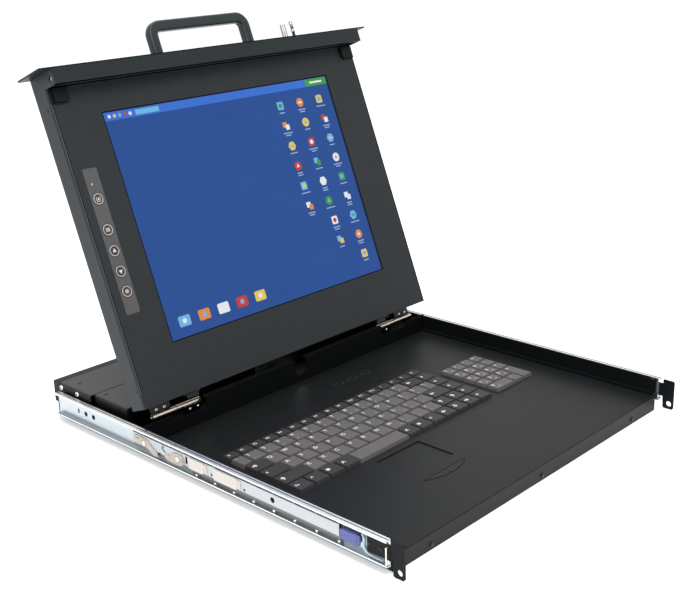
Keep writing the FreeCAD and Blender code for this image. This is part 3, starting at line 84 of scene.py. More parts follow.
def material(name, colour, rough=0.5, metal=0.0, spec=0.5, grain=0.0, grain_scale=1500.0, mottle=0.08,
             mottle_scale=60.0, stretch=None, edge=0.0003, coat=0.0):
    """Principled surface with mottled colour, a fine grain in the bump, and softened edges."""
    m = bpy.data.materials.new(name)
    m.use_nodes = True
    nt = m.node_tree
    shader = nt.nodes["Principled BSDF"]
    shader.inputs["Metallic"].default_value = metal
    shader.inputs["Specular IOR Level"].default_value = spec
    shader.inputs["Coat Weight"].default_value = coat
    shader.inputs["Coat Roughness"].default_value = 0.2
    place = nt.nodes.new("ShaderNodeTexCoord")
    coords = place.outputs["Object"]
    if stretch:
        scale = nt.nodes.new("ShaderNodeMapping")
        scale.inputs["Scale"].default_value = stretch
        nt.links.new(coords, scale.inputs["Vector"])
        coords = scale.outputs["Vector"]
    cloud = nt.nodes.new("ShaderNodeTexNoise")
    cloud.inputs["Scale"].default_value = mottle_scale
    cloud.inputs["Detail"].default_value = 4.0
    nt.links.new(coords, cloud.inputs["Vector"])
    ramp = nt.nodes.new("ShaderNodeValToRGB")
    ramp.color_ramp.elements[0].position = 0.3
    ramp.color_ramp.elements[1].position = 0.7
    ramp.color_ramp.elements[0].color = tuple(c * (1 - mottle) for c in colour[:3]) + (1,)
    ramp.color_ramp.elements[1].color = tuple(min(1, c * (1 + mottle)) for c in colour[:3]) + (1,)
    nt.links.new(cloud.outputs["Fac"], ramp.inputs["Fac"])
    nt.links.new(ramp.outputs["Color"], shader.inputs["Base Color"])
    spread = nt.nodes.new("ShaderNodeMapRange")
    spread.inputs["To Min"].default_value = rough * 0.92
    spread.inputs["To Max"].default_value = min(1.0, rough * 1.08)
    nt.links.new(cloud.outputs["Fac"], spread.inputs["Value"])
    nt.links.new(spread.outputs["Result"], shader.inputs["Roughness"])
    fine = nt.nodes.new("ShaderNodeTexNoise")
    fine.inputs["Scale"].default_value = grain_scale
    fine.inputs["Detail"].default_value = 2.0
    nt.links.new(coords, fine.inputs["Vector"])
    bump = nt.nodes.new("ShaderNodeBump")
    bump.inputs["Strength"].default_value = grain
    bump.inputs["Distance"].default_value = 0.0002
    nt.links.new(fine.outputs["Fac"], bump.inputs["Height"])
    if edge:
        bevel = nt.nodes.new("ShaderNodeBevel")
        bevel.samples = 4
        bevel.inputs["Radius"].default_value = edge
        nt.links.new(bevel.outputs["Normal"], bump.inputs["Normal"])
    nt.links.new(bump.outputs["Normal"], shader.inputs["Normal"])
    return m


def masked(name, base, other, test, **kw):
    """Like material, with a second colour where test(nodes, links, xyz) is above zero."""
    m = material(name, base, **kw)
    nt = m.node_tree
    shader = nt.nodes["Principled BSDF"]
    place = next(n for n in nt.nodes if n.type == "TEX_COORD")
    split = nt.nodes.new("ShaderNodeSeparateXYZ")
    nt.links.new(place.outputs["Object"], split.inputs[0])
    side = test(nt, split)
    mix = nt.nodes.new("ShaderNodeMix")
    mix.data_type = "RGBA"
    old = shader.inputs["Base Color"].links[0].from_socket
    nt.links.new(side, mix.inputs["Factor"])
    nt.links.new(old, mix.inputs["A"])
    mix.inputs["B"].default_value = other
    nt.links.new(mix.outputs["Result"], shader.inputs["Base Color"])
    return m


def calc(nt, operation, a, b):
    """Math node on sockets or plain numbers."""
    node = nt.nodes.new("ShaderNodeMath")
    node.operation = operation
    for socket, value in zip(node.inputs, (a, b)):
        if isinstance(value, (int, float)):
            socket.default_value = value
        else:
            nt.links.new(value, socket)
    return node.outputs[0]


def off_axis(nt, xyz):
    """One outside the hinge barrel, zero on it."""
    y = calc(nt, "SUBTRACT", xyz.outputs["Y"], HINGE.y)
    z = calc(nt, "SUBTRACT", xyz.outputs["Z"], HINGE.z)
    r = calc(nt, "SQRT", calc(nt, "ADD", calc(nt, "MULTIPLY", y, y), calc(nt, "MULTIPLY", z, z)), 0)
    return calc(nt, "GREATER_THAN", r, 0.0031)


def below_step(nt, xyz):
    """One on the member's lower raceway, zero on its face."""
    return calc(nt, "LESS_THAN", xyz.outputs["Z"], 0.0170)


def cover_flange_shade(nt, xyz):
    """One on the covers' flanges, which are painted as near-black shade, zero on their tops."""
    return calc(nt, "LESS_THAN", xyz.outputs["Z"], 0.0412)


def glow(name, colour, strength=1.0, mottle=0.03):
    """Lit display colour over dark glass."""
    m = material(name, colour, rough=0.35, spec=0.03, mottle=mottle, mottle_scale=25, edge=0)
    nt = m.node_tree
    shader = nt.nodes["Principled BSDF"]
    lit = shader.inputs["Base Color"].links[0].from_socket
    nt.links.new(lit, shader.inputs["Emission Color"])
    nt.links.remove(shader.inputs["Base Color"].links[0])
    shader.inputs["Base Color"].default_value = (0.004, 0.005, 0.008, 1)
    shader.inputs["Emission Strength"].default_value = strength
    return m


PAINT = dict(rough=0.42, spec=0.22, grain=0.3, grain_scale=2200, mottle=0.05)
STEEL = dict(metal=1.0, grain=0.15, grain_scale=900, stretch=(1, 0.03, 1))
M = {
    "deck": material("deck_paint", srgb(20, 22, 23), **{**PAINT, "rough": 0.4, "spec": 0.15}),
    "pan": material("pan_paint", srgb(14, 17, 18), **{**PAINT, "spec": 0.14}),
    "beam": material("beam_paint", srgb(9, 11, 12), **{**PAINT, "rough": 0.6, "spec": 0.06}),
    "ear": material("ear_paint", srgb(17, 19, 20), **{**PAINT, "spec": 0.12}),
    "shell": material("shell_paint", srgb(50, 55, 60), **PAINT),
    "bezel": material("bezel_paint", srgb(42, 45, 47), **{**PAINT, "rough": 0.5, "spec": 0.15}),
    "fascia": material("fascia_paint", srgb(27, 33, 35), **PAINT),
    # Cover tops in their paint colour; the flanges below 41.2 mm are painted near black as shade.
    "plate": masked("plate_paint_shaded_flanges", srgb(60, 60, 62), srgb(14, 15, 16), cover_flange_shade, **PAINT),
    "handle": material("handle_paint", srgb(32, 39, 42), **{**PAINT, "rough": 0.34, "spec": 0.35}),
    "zinc": material("zinc_steel", srgb(194, 203, 208), rough=0.34, mottle=0.06, **STEEL),
    "member": masked("nested_rail_steel", srgb(188, 192, 195), srgb(122, 122, 123), below_step, rough=0.5,
                     mottle=0.05, **STEEL),
    "lever": material("lever_nylon", srgb(200, 188, 175), rough=0.45, spec=0.4, grain=0.2, grain_scale=700,
                      mottle=0.05),
    "cage": material("cage_steel", srgb(150, 150, 150), rough=0.4, mottle=0.06, **STEEL),
    "ball": material("ball_steel", srgb(235, 237, 240), rough=0.12, metal=1.0, mottle=0.03, edge=0),
    "chrome": material("chrome", srgb(168, 163, 163), rough=0.28, metal=1.0, mottle=0.03, edge=0.0002),
    "hinge": masked("hinge_steel", srgb(226, 214, 198), srgb(34, 32, 31), off_axis, rough=0.25, metal=1.0,
                    mottle=0.06, edge=0.0002),
    "screw": material("black_screw", srgb(22, 23, 24), rough=0.3, metal=0.5, mottle=0.1, edge=0.0001),
    "bright_screw": material("bright_screw", srgb(226, 222, 212), rough=0.25, metal=1.0, mottle=0.06,
                             edge=0.0001),
    # Near black that stands in for shade: cross recesses, the thumbscrew slot and the slides' shade lines.
    "recess": material("recess_painted_shade", srgb(24, 24, 24), rough=0.6, mottle=0.1, edge=0),
    "nylon": material("white_nylon", srgb(226, 219, 212), rough=0.45, spec=0.4, grain=0.15, grain_scale=600,
                      mottle=0.04),
    "rivet": material("rivet_head", srgb(240, 238, 234), rough=0.35, spec=0.5, mottle=0.03),
    "spring": material("spring_steel", srgb(205, 220, 228), rough=0.35, metal=0.6, mottle=0.04),
    "tab": material("blue_tab", srgb(98, 106, 166), rough=0.42, spec=0.3, grain=0.2, grain_scale=700,
                    mottle=0.05),
    "black": material("black_plastic", srgb(12, 12, 13), rough=0.5, spec=0.2, grain=0.3, grain_scale=1400,
                      mottle=0.06),
    # Near black of the dark joint lines, and of the painted shadow lines and band on the lid.
    "joint_and_shadow": material("dark_joint_and_painted_shadow", srgb(5, 6, 6), rough=0.8, spec=0.05, grain=0.2, mottle=0.08, edge=0),
    "button_flush": material("flush_button", srgb(28, 28, 31), **{**PAINT, "spec": 0.15}),
    "blue": material("blue_socket", srgb(40, 60, 140), rough=0.4, grain=0.2, mottle=0.05),
    "board": material("circuit_board", srgb(30, 84, 48), rough=0.4, grain=0.2, mottle=0.2, mottle_scale=300),
    "key": material("key_taupe", srgb(93, 90, 89), rough=0.55, spec=0.22, grain=0.3, grain_scale=1600,
                    mottle=0.05, edge=0.0006),
    "key_dark": material("key_dark", srgb(52, 50, 51), rough=0.5, spec=0.2, grain=0.3, grain_scale=1600,
                         mottle=0.05, edge=0.0006),
    "overlay": material("overlay_film", srgb(82, 81, 82), rough=0.42, spec=0.2, grain=0.6, grain_scale=1500,
                        mottle=0.12, mottle_scale=500),
    "button": material("button_plastic", srgb(60, 56, 56), rough=0.4, spec=0.3, grain=0.15, mottle=0.04),
    # Pale grey of the buttons' raised rings, standing in for their highlight; the lamp shares it.
    "ring": material("button_ring", srgb(172, 168, 166), rough=0.35, spec=0.4, mottle=0.05, edge=0),
    "block": material("stop_rubber", srgb(13, 15, 16), rough=0.5, spec=0.15, grain=0.3, grain_scale=900,
                      mottle=0.06),
    "lens": material("lamp_lens", srgb(12, 14, 14), rough=0.3, coat=0.2, mottle=0.1, mottle_scale=400),
    "outline": material("grey_print", srgb(70, 71, 71), rough=0.6, spec=0.1, mottle=0.05, edge=0),
    "lcd": material("display_glass", srgb(26, 28, 32), rough=0.25, grain=0.0, mottle=0.1),
    "ring_dark": material("guard_paint", srgb(66, 66, 67), rough=0.45, spec=0.25, mottle=0.05, edge=0),
    # Near-white metal strips that stand in for highlights on the slides' edges.
    "slide_highlight": material("painted_highlight_strip", srgb(236, 238, 238), rough=0.4, metal=1.0, mottle=0.04, edge=0),
    # Pale grey of the painted highlight lines on the bezel's edges.
    "edge_glint": material("painted_edge_highlight", srgb(78, 86, 90), rough=0.4, spec=0.3, mottle=0.06, edge=0),
    "legend": material("white_print", srgb(206, 204, 202), rough=0.6, spec=0.1, mottle=0.03, edge=0),
    "legend_blue": material("blue_print", srgb(96, 132, 172), rough=0.6, spec=0.1, mottle=0.05, edge=0),
    "legend_grey": material("grey_mark", srgb(206, 203, 201), rough=0.6, spec=0.1, mottle=0.05, edge=0),
}
SHOWN = {
    "field": glow("lit_field", srgb(43, 79, 146)), "bar": glow("lit_bar", srgb(62, 112, 205)),
    "green": glow("lit_green", srgb(70, 152, 62)), "white": glow("lit_white", srgb(225, 230, 236)),
    "yellow": glow("lit_yellow", srgb(226, 196, 88)), "red": glow("lit_red", srgb(196, 66, 54)),
    "sky": glow("lit_sky", srgb(112, 178, 226)), "orange": glow("lit_orange", srgb(222, 138, 58)),
    "line": glow("lit_line", srgb(150, 170, 208)),
}

LOOK = {
    "base_pan": "pan", "deck_panel": "deck", "hinge_beam": "beam", "front_cover": "plate",
    "rear_cover": "plate", "rear_panel": "pan", "power_inlet": "black", "signal_connectors": "blue",
    "psu_module": "board", "controller_board": "board", "tray_screws": "screw", "lid_screws": "screw",
    "stop_springs": "spring", "hinge_tray_leaves": "hinge", "hinge_lid_leaves": "hinge",
    "hinge_pins": "bright_screw", "left_ear_bracket": "ear", "right_ear_bracket": "ear",
    "keyboard_frame": "black", "number_pad_frame": "black", "touchpad_module": "deck",
    "indicator_lenses": "lens", "lid_shell": "shell", "lid_bezel": "bezel", "lcd_panel": "lcd",
    "lcd_driver_board": "board", "fascia_plate": "fascia", "handle": "handle", "latch_blocks": "block",
    "osd_overlay": "overlay", "thumbscrew": "chrome", "release_plunger": "chrome",
    "function_keys": "key_dark", "letter_keys": "key", "modifier_keys_left": "key_dark",
    "space_bar": "key", "modifier_keys_right": "key_dark", "navigation_keys": "key_dark",
    "number_pad_keys": "key", "left_touchpad_button": "button_flush",
    "right_touchpad_button": "button_flush",
}
for side in ("left", "right"):
    LOOK.update({f"{side}_slide_channel": "zinc", f"{side}_slide_member": "member",
                 f"{side}_ball_cage": "cage", f"{side}_release_tab": "tab", f"{side}_slide_blocks": "nylon",
                 f"{side}_rear_lever": "lever", f"{side}_front_lever": "lever"})
for number in range(1, 6):
    LOOK[f"osd_button_{number}"] = "button"
for node, obj in NODES.items():
    obj.data.materials.clear()
    obj.data.materials.append(M[LOOK[node]])


# ---- mesh helpers -----------------------------------------------------------------------
def piece(name, bm, mat, body, replaces=(), more=()):
    """Object from bm that rides on body; more holds the materials of its further slots."""
    mesh = bpy.data.meshes.new(name)
    bm.to_mesh(mesh)
    bm.free()
    obj = bpy.data.objects.new(name, mesh)
    bpy.context.scene.collection.objects.link(obj)
    for surface in (mat, *more):
        mesh.materials.append(surface)
    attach(obj, body)
    if replaces:
        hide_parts(*replaces)


def turns(count):
    """Angles of equal steps round a full turn."""
    return [math.tau * i / count for i in range(count)]


def wall(bm, low, high, smooth=False, slot=0):
    """Band of faces between two closed rows of equally many vertices."""
    count = len(low)
    for i in range(count):
        k = (i + 1) % count
        face = bm.faces.new((low[i], low[k], high[k], high[i]))
        face.smooth = smooth
        face.material_index = slot


def flat_shape(bm, points, place, thick, slot=0):
    """Thin plate over a polygon; place maps (a, b, height) to the row frame."""
    low = [bm.verts.new(place(a, b, 0)) for a, b in points]
    high = [bm.verts.new(place(a, b, thick)) for a, b in points]
    for end in (high, low[::-1]):
        bm.faces.new(end).material_index = slot
    wall(bm, low, high, slot=slot)


def disc(x, y, radius, sides=16, turn=0.0):
    """Regular outline about a centre, its first corner at turn."""
    return [(x + radius * math.cos(turn + t), y + radius * math.sin(turn + t)) for t in turns(sides)]


def panel(x, y, w, h, soft=0.0, steps=3):
    """Rectangle about its centre, with softened corners."""
    if not soft:
        x0, x1, y0, y1 = x - w / 2, x + w / 2, y - h / 2, y + h / 2
        return [(x0, y0), (x1, y0), (x1, y1), (x0, y1)]
    points = []
    for cx, cy, start in ((1, -1, -90), (1, 1, 0), (-1, 1, 90), (-1, -1, 180)):
        for k in range(steps + 1):
            t = math.radians(start + 90 * k / steps)
            points.append((x + cx * (w / 2 - soft) + soft * math.cos(t),
                           y + cy * (h / 2 - soft) + soft * math.sin(t)))
    return points


def ring_shape(bm, outer, inner, place, thick):
    """Flat frame between two outlines of equally many points."""
    ol, oh, il, ih = [[bm.verts.new(place(a, b, h)) for a, b in points]
                      for points in (outer, inner) for h in (0, thick)]
    count = len(outer)
    for i in range(count):
        k = (i + 1) % count
        for a, b in ((oh, ih), (il, ol), (ol, oh), (ih, il)):
            bm.faces.new((a[i], a[k], b[k], b[i]))


def lathe(bm, place, profile, sides=24, slot=0):
    """Turned form from (distance along, radius) pairs; place maps (a, b, along) to the row frame."""
    rings = [[bm.verts.new(place(radius * math.cos(t), radius * math.sin(t), along)) for t in turns(sides)]
             for along, radius in profile]
    for low, high in zip(rings, rings[1:]):
        wall(bm, low, high, True, slot)
    for end in (rings[0][::-1], rings[-1]):
        bm.faces.new(end).material_index = slot


def frame_at(origin, out):
    """Placement with its third axis along out."""
    out = Vector(out).normalized()
    a = out.orthogonal().normalized()
    b = out.cross(a)
    return lambda x, y, z: Vector(origin) + a * (x / 1000) + b * (y / 1000) + out * (z / 1000)


def cross_screw(bm, origin, out, radius, height, turn=0.4):
    """Domed screw head on a seat at origin, with a cross recess painted as flat dark shade in slot 1."""
    place = frame_at(origin, out)
    lathe(bm, place, [(0.0, radius), (height * 0.45, radius), (height * 0.8, radius * 0.86),
                      (height, radius * 0.6)], 20)
    wide, long = radius * 0.14, radius * 0.56
    arm = [(wide, wide), (wide, long), (-wide, long), (-wide, wide), (-long, wide), (-long, -wide),
           (-wide, -wide), (-wide, -long), (wide, -long), (wide, -wide), (long, -wide), (long, wide)]
    c, s = math.cos(turn), math.sin(turn)
    points = [(x * c - y * s, x * s + y * c) for x, y in arm]
    flat_shape(bm, points, lambda x, y, z: place(x, y, height + z), 0.015, 1)


# ---- key legends ------------------------------------------------------------------------
CAPITAL = 0.7                    # height of a capital in the built-in face, of one unit
PRINT_LIFT = 0.00004             # print above the surface that it lies on, metres
LETTER, WORD = 0.0043, 0.0031    # heights of a single mark and of a short word, metres
MARK_IN, LOWER_MARK = 0.0022, 0.0036    # from a key top's left and front edges, metres
TEXT = {}


def glyphs(word):
    """Points and faces of a short mark in the built-in face, one unit high; each is made once."""
    if word not in TEXT:
        curve = bpy.data.curves.new("mark", "FONT")
        curve.body = word
        curve.resolution_u = 3
        curve.offset = 0.028
        obj = bpy.data.objects.new("mark", curve)
        bpy.context.scene.collection.objects.link(obj)
        mesh = bpy.data.meshes.new_from_object(obj)
        points = [(v.co.x, v.co.y) for v in mesh.vertices]
        faces = [tuple(p.vertices) for p in mesh.polygons]
        bpy.data.objects.remove(obj)
        bpy.data.curves.remove(curve)
        bpy.data.meshes.remove(mesh)
        left = min(x for x, y in points)
        TEXT[word] = ([((x - left) / CAPITAL, y / CAPITAL) for x, y in points], faces)
    return TEXT[word]


ARROW = [(-0.5, 0.0), (0.0, 0.5), (0.0, 0.17), (0.5, 0.17), (0.5, -0.17), (0.0, -0.17), (0.0, -0.5)]
SIGNS = {"left": 0, "down": 90, "right": 180, "up": 270}


def mark(bm, word, x, y, z, size, slot=0):
    """A printed mark on a key top, its left edge at x and its middle at y, in row metres."""
    def outline(points):
        verts = [bm.verts.new((x + a * size, y + b * size, z)) for a, b in points]
        bm.faces.new(verts).material_index = slot

    if word in SIGNS:
        t = math.radians(SIGNS[word])
        outline([(a * math.cos(t) - b * math.sin(t) + 0.5, a * math.sin(t) + b * math.cos(t))
                 for a, b in ARROW])
    elif word == "square":
        outline(panel(0.5, 0, 0.9, 0.9))
    else:
        points, faces = glyphs(word)
        verts = [bm.verts.new((x + a * size, y + (b - 0.5) * size, z)) for a, b in points]
        for face in faces:
            try:
                bm.faces.new([verts[i] for i in face]).material_index = slot
            except ValueError:
                continue


def key_tops(node):
    """Rows of key-top rectangles of a key node, from the front row back, each from left to right."""
    mesh = NODES[node].data
    top = max(v.co.z for v in mesh.vertices)
    found = set()
    for polygon in mesh.polygons:
        corners = [mesh.vertices[i].co for i in polygon.vertices]
        if min(c.z for c in corners) > top - 1e-5:
            xs, ys = [c.x for c in corners], [c.y for c in corners]
            found.add(tuple(round(v, 5) for v in (min(xs), max(xs), min(ys), max(ys))))
    rows = {}
    for x0, x1, y0, y1 in found:
        rows.setdefault(round(y0, 4), []).append((x0, x1, y0, y1))
    return [sorted(rows[y]) for y in sorted(rows)], top


BLUE_PAD = {"M": "0", "J": "1", "K": "2", "L": "3", "U": "4", "I": "5", "O": "6", "7": "7", "8": "8",
            "9": "9", ",": ".", "P": "*", ";": "-", "/": "/", "0": "*"}
LEGENDS = {
    "letter_keys": (list("ZXCVBNM,./"), list("ASDFGHJKL;'"), list("QWERTYUIOP[]\\"), list("`1234567890-=")),
    "modifier_keys_left": (["Fn", "^", "square", "A"], ["up"], ["^"], ["right"]),
    "modifier_keys_right": (["A", "square", "=", "left", "down", "right"], ["up", "up"], ["left"], ["left"]),
    "navigation_keys": (["right"], ["down"], ["up"], ["left"], ["up"]),
    "function_keys": (["X"] + [f"F{n}" for n in range(1, 13)] + ["1", "A", "S", "D"],),
    "number_pad_keys": (["0", ".", "+"], ["1", "2", "3"], ["4", "5", "6", "+"], ["7", "8", "9", "-"],
                        ["1", "/", "*", "="]),
}
MIDDLE_MARKS = ("modifier_keys_left", "modifier_keys_right", "navigation_keys", "function_keys")


def add_legends():
    """Marks on the key tops, with the blue number-pad marks of the letter keys."""
    for node, rows in LEGENDS.items():
        bm = bmesh.new()
        found, top = key_tops(node)
        z = top + PRINT_LIFT
        for words, keys in zip(rows, found):
            for word, (x0, x1, y0, y1) in zip(words, keys):
                spelled = len(word) > 1 and word not in SIGNS and word != "square"
                size = WORD if spelled or node == "function_keys" else LETTER
                middle = (y0 + y1) / 2 + 0.001 if node in MIDDLE_MARKS else y1 - 0.0014 - size / 2
                if word in SIGNS and node != "navigation_keys":
                    size *= 1.35
                mark(bm, word, x0 + MARK_IN, middle, z, size)
                if node == "letter_keys" and word in "1234567890-=,./;'[]":
                    mark(bm, "-", x0 + MARK_IN, y0 + LOWER_MARK, z, 0.0030)
                if node == "letter_keys" and word in BLUE_PAD:
                    mark(bm, BLUE_PAD[word], x1 - 0.0046, y0 + LOWER_MARK, z, 0.0032, 1)
                if node == "number_pad_keys" and word.isdigit():
                    mark(bm, "up", x0 + 0.0066, y0 + 0.0040, z, 0.0024)
        piece(f"{node}_legends", bm, M["legend"], node, more=[M["legend_blue"]])


# ---- lid dressing, in lid millimetres ---------------------------------------------------
BEZEL_Y, GLASS_Y, FASCIA_Y = -17.0, -15.5, -36.8
RETURN_LOW, FASCIA_IN, FASCIA_TOP = 332.9, 347.9, 349.4
FASCIA_HALF = 225.2
SCREEN_LOW, SCREEN_W, SCREEN_H = 65.6, 315.5, 236.6
SCREEN_Z = SCREEN_LOW + SCREEN_H / 2
CHEEK_HOLE = (0.2099, 0.181876, 0.364508)    # row metres, right-hand side


def on_lid(y):
    """Placement on a plane of the lid that faces the front."""
    return lambda a, b, out: lid_mm(a, y - out, b)


def add_picture():
    """Generic desktop: blue field, bar along the top, tiles in three columns and a row at the foot."""
    names = list(SHOWN)
    bm = bmesh.new()
    left, right, top = -SCREEN_W / 2, SCREEN_W / 2, SCREEN_LOW + SCREEN_H
    bar, foot = top - 4.6, SCREEN_LOW + 16
    flat_shape(bm, panel(0, SCREEN_Z, SCREEN_W - 0.2, SCREEN_H - 0.2), on_lid(GLASS_Y), 0.02)

    def put(points, name, level=0):
        flat_shape(bm, points, on_lid(GLASS_Y - 0.03 - 0.02 * level), 0.015, names.index(name))

    put(panel(0, bar, SCREEN_W - 0.4, 8.6), "bar")
    put(panel(right - 17.5, bar, 34, 8.2, 1.6), "green", 1)
    put(panel(right - 17.5, bar, 20, 2.2), "white", 2)
    for i, name in enumerate(("white", "yellow", "sky", "red", "white")):
        put(disc(left + 7 + 6.4 * i, bar, 1.9, 12), name, 1)
    put(panel(left + 54, bar, 30, 5.4, 1.0), "sky", 1)
    colours = ("yellow", "white", "sky", "orange", "green", "red", "sky", "white")
    for column in range(3):
        for row in range((9, 8, 6)[column]):
            x = right - 20 - 31 * column
            z = top - 25 - 23.4 * row
            kind = (row * 3 + column * 2) % 4
            first = colours[(row * 5 + column * 3) % 8]
            second = colours[(row * 3 + column + 2) % 8]
            if second == first:
                second = "white"
            if kind == 0:
                put(panel(x, z, 9.4, 9.4, 1.8), first)
                put(disc(x, z, 2.7, 14), second, 1)
            elif kind == 1:
                put(disc(x, z, 5.2, 20), first)
                put(disc(x, z, 2.9, 3, math.radians(90)), second, 1)
            elif kind == 2:
                put(disc(x, z, 5.6, 6), first)
                put(panel(x, z, 5.4, 2.0), second, 1)
            else:
                put(panel(x - 1.6, z + 1.4, 6.4, 6.4, 0.8), first)
                put(panel(x + 1.8, z - 1.6, 6.0, 6.0, 0.8), second, 1)
            put(panel(x, z - 8.2, 14 - (row + column) % 3 * 3, 1.3), "line")
            if (row + column) % 2:
                put(panel(x, z - 10.8, 8, 1.3), "line")
    for i, name in enumerate(("sky", "orange", "white", "red", "yellow")):
        x = left + 22 + 26 * i
        put(panel(x, foot, 15, 11, 1.6), name)
        put(disc(x, foot, 3.0, 5, math.radians(90)), ("white", "sky")[i % 2], 1)
    piece("screen_picture", bm, SHOWN["field"], "lid", more=[SHOWN[name] for name in names[1:]])


def add_lid_trim():
    """Window shadow line; painted shadow band under the fascia return, with painted highlight lines at the
    bezel's top edge; bezel side seams beside painted highlight lines; line on the front plate, guard tabs,
    cheek discs.
    """
    bm = bmesh.new()
    ring_shape(bm, panel(0, SCREEN_Z, SCREEN_W + 1.9, SCREEN_H + 1.9),
               panel(0, SCREEN_Z, SCREEN_W + 0.1, SCREEN_H + 0.1), on_lid(BEZEL_Y), 0.05)
    piece("window_shadow_line", bm, M["joint_and_shadow"], "lid")
    # Painted shadow: a near-black band on the bezel under the fascia return, in eight lengths, where the
    # return's shade falls.
    bm = bmesh.new()
    wide, lengths = 423.0, 8
    for k in range(lengths):
        x = -wide / 2 + wide / lengths * (k + 0.5)
        flat_shape(bm, panel(x, (RETURN_LOW + 0.2 + FASCIA_IN - 0.6) / 2, wide / lengths - 0.02,
                             FASCIA_IN - RETURN_LOW - 0.8), on_lid(BEZEL_Y), 0.3)
    # Painted highlight lines along the bezel's top edge, one on the shadow band and one just under it.
    flat_shape(bm, panel(0, RETURN_LOW + 2.3, wide - 2, 0.7, 0.2), on_lid(BEZEL_Y - 0.3), 0.1, 1)
    flat_shape(bm, panel(0, RETURN_LOW + 0.1, wide - 2, 0.3, 0.1), on_lid(BEZEL_Y), 0.1, 1)
    piece("bezel_top_painted_shadow", bm, M["joint_and_shadow"], "lid", more=[M["edge_glint"]])
    bm = bmesh.new()
    for side in (-1, 1):
        # Each side: a dark seam line, then a painted highlight line beside it.
        for x, w, slot in ((210.0, 0.8, 0), (211.0, 0.7, 1)):
            flat_shape(bm, panel(side * x, 178, w, 304, 0.2), on_lid(BEZEL_Y), 0.05, slot)
    piece("bezel_seams_and_highlights", bm, M["joint_and_shadow"], "lid", more=[M["edge_glint"]])
    bm = bmesh.new()
    flat_shape(bm, panel(0, FASCIA_TOP - 0.65, 2 * FASCIA_HALF, 1.0, 0.2), on_lid(FASCIA_Y), 0.05)
    piece("fascia_top_line", bm, M["joint_and_shadow"], "lid")
    bm = bmesh.new()
    for side in (-1, 1):
        flat_shape(bm, panel(side * 144.5, 7.8, 15, 6.0, 0.6), on_lid(-3.3), 0.25)
    piece("hinge_guard_tabs", bm, M["ring_dark"], "lid")
    bm = bmesh.new()
    x, y, z = CHEEK_HOLE
    for side in (-1, 1):
        lathe(bm, frame_at((side * x, y, z), (side, 0, 0)),
              [(0.0, 2.9), (0.15, 2.9), (0.25, 2.2), (0.3, 1.2)], 20)
    piece("cheek_nuts", bm, M["legend"], "lid")


OSD_X, OSD_KEYS, OSD_LED = -192.2, (220.5, 189.3, 168.1, 147.2, 126.8), 235.6
OSD_FACE = 0.34                  # face of a button above the bezel
OSD_SIDES = 32


def add_controls():
    """Smooth push buttons with their raised rings, pale as a painted highlight, and marks, and the lamp."""
    for number, z in enumerate(OSD_KEYS, 1):
        body = f"osd_button_{number}"
        place = lambda a, b, out, z=z: lid_mm(OSD_X + a, BEZEL_Y - out, z + b)
        bm = bmesh.new()
        lathe(bm, place, [(0.1, 5.6), (0.2, 5.6), (0.35, 5.4), (0.42, 4.9), (0.3, 4.6), (OSD_FACE, 2.2),
                          (OSD_FACE, 0.6)], OSD_SIDES)
        piece(f"control_button_{number}", bm, M["button"], body, (body,))
        # Raised ring round each button, painted pale as its highlight.
        bm = bmesh.new()
        rings = [[bm.verts.new(place(r * math.cos(t), r * math.sin(t), h)) for t in turns(OSD_SIDES)]
                 for h, r in ((0.28, 5.7), (0.52, 5.55), (0.58, 5.2), (0.5, 4.75), (0.3, 4.55))]
        for low, high in zip(rings, rings[1:] + rings[:1]):
            wall(bm, low, high, True)
        piece(f"control_ring_{number}", bm, M["ring"], body)
        bm = bmesh.new()
        up = lambda a, b, out, z=z: lid_mm(OSD_X + a, BEZEL_Y - OSD_FACE - out, z + b)
        if number == 1:
            shapes = [disc(0, 0, 1.1, 12)]
            for i in range(10):
                t = math.tau * (i + 0.5) / 12 + math.radians(120)
                shapes.append(panel(2.5 * math.cos(t), 2.5 * math.sin(t), 0.8, 0.8))
        elif number in (3, 4):
            shapes = [disc(0, 0, 2.5, 3, math.radians(90 if number == 3 else -90))]
        else:
            shapes = [panel(0, 1.3 * k, 4.6 - (number == 5) * abs(k), 0.7) for k in (-1, 0, 1)]
        for shape in shapes:
            flat_shape(bm, shape, up, 0.06)
        piece(f"control_mark_{number}", bm, M["legend_grey"], body)
    bm = bmesh.new()
    lathe(bm, lambda a, b, out: lid_mm(OSD_X - 2 + a, BEZEL_Y - out, OSD_LED + b),
          [(-0.5, 1.15), (0.2, 1.15), (0.55, 0.8), (0.65, 0.3)], 14)
    piece("control_lamp", bm, M["ring"], "lid")


HANDLE_X, HANDLE_HIGH, HANDLE_BEND = 64.25, 34.25, 10.5    # middle line of the bar
BAR_W, BAR_D, BAR_SOFT = 11.5, 10.0, 2.6
POST_Y = -8.0                    # middle of the plate's return, where handle and posts stand
THUMB_X, PLUNGER_X = 122.0, 136.0
KNURLS, KNURL_DEEP, THUMB_TOP = 28, 0.25, 20.6


def add_handle():
    """Smooth bail handle of the same bar, bend and height as the solid."""
    section = panel(0, 0, BAR_W, BAR_D, BAR_SOFT, 5)
    path = [(HANDLE_X, 0.0, 0.0), (HANDLE_X, 6.0, 0.0)]
    for i in range(11):
        t = math.pi / 2 * i / 10
        path.append((HANDLE_X - HANDLE_BEND * (1 - math.cos(t)),
                     HANDLE_HIGH - HANDLE_BEND * (1 - math.sin(t)), t))
    path += [(-x, z, math.pi - t) for x, z, t in reversed(path)]
    bm = bmesh.new()
    rings = [[bm.verts.new(lid_mm(x + a * math.cos(t), POST_Y + b, FASCIA_TOP + z + a * math.sin(t)))
              for a, b in section] for x, z, t in path]
    for low, high in zip(rings, rings[1:]):
        wall(bm, low, high, True)
    bm.faces.new(rings[0])
    bm.faces.new(rings[-1])
    piece("bail_handle", bm, M["handle"], "lid", ("handle",))


def post_at(x):
    """Placement along a post that stands on the front plate."""
    return lambda a, b, out: lid_mm(x + a, POST_Y + b, FASCIA_TOP + out)


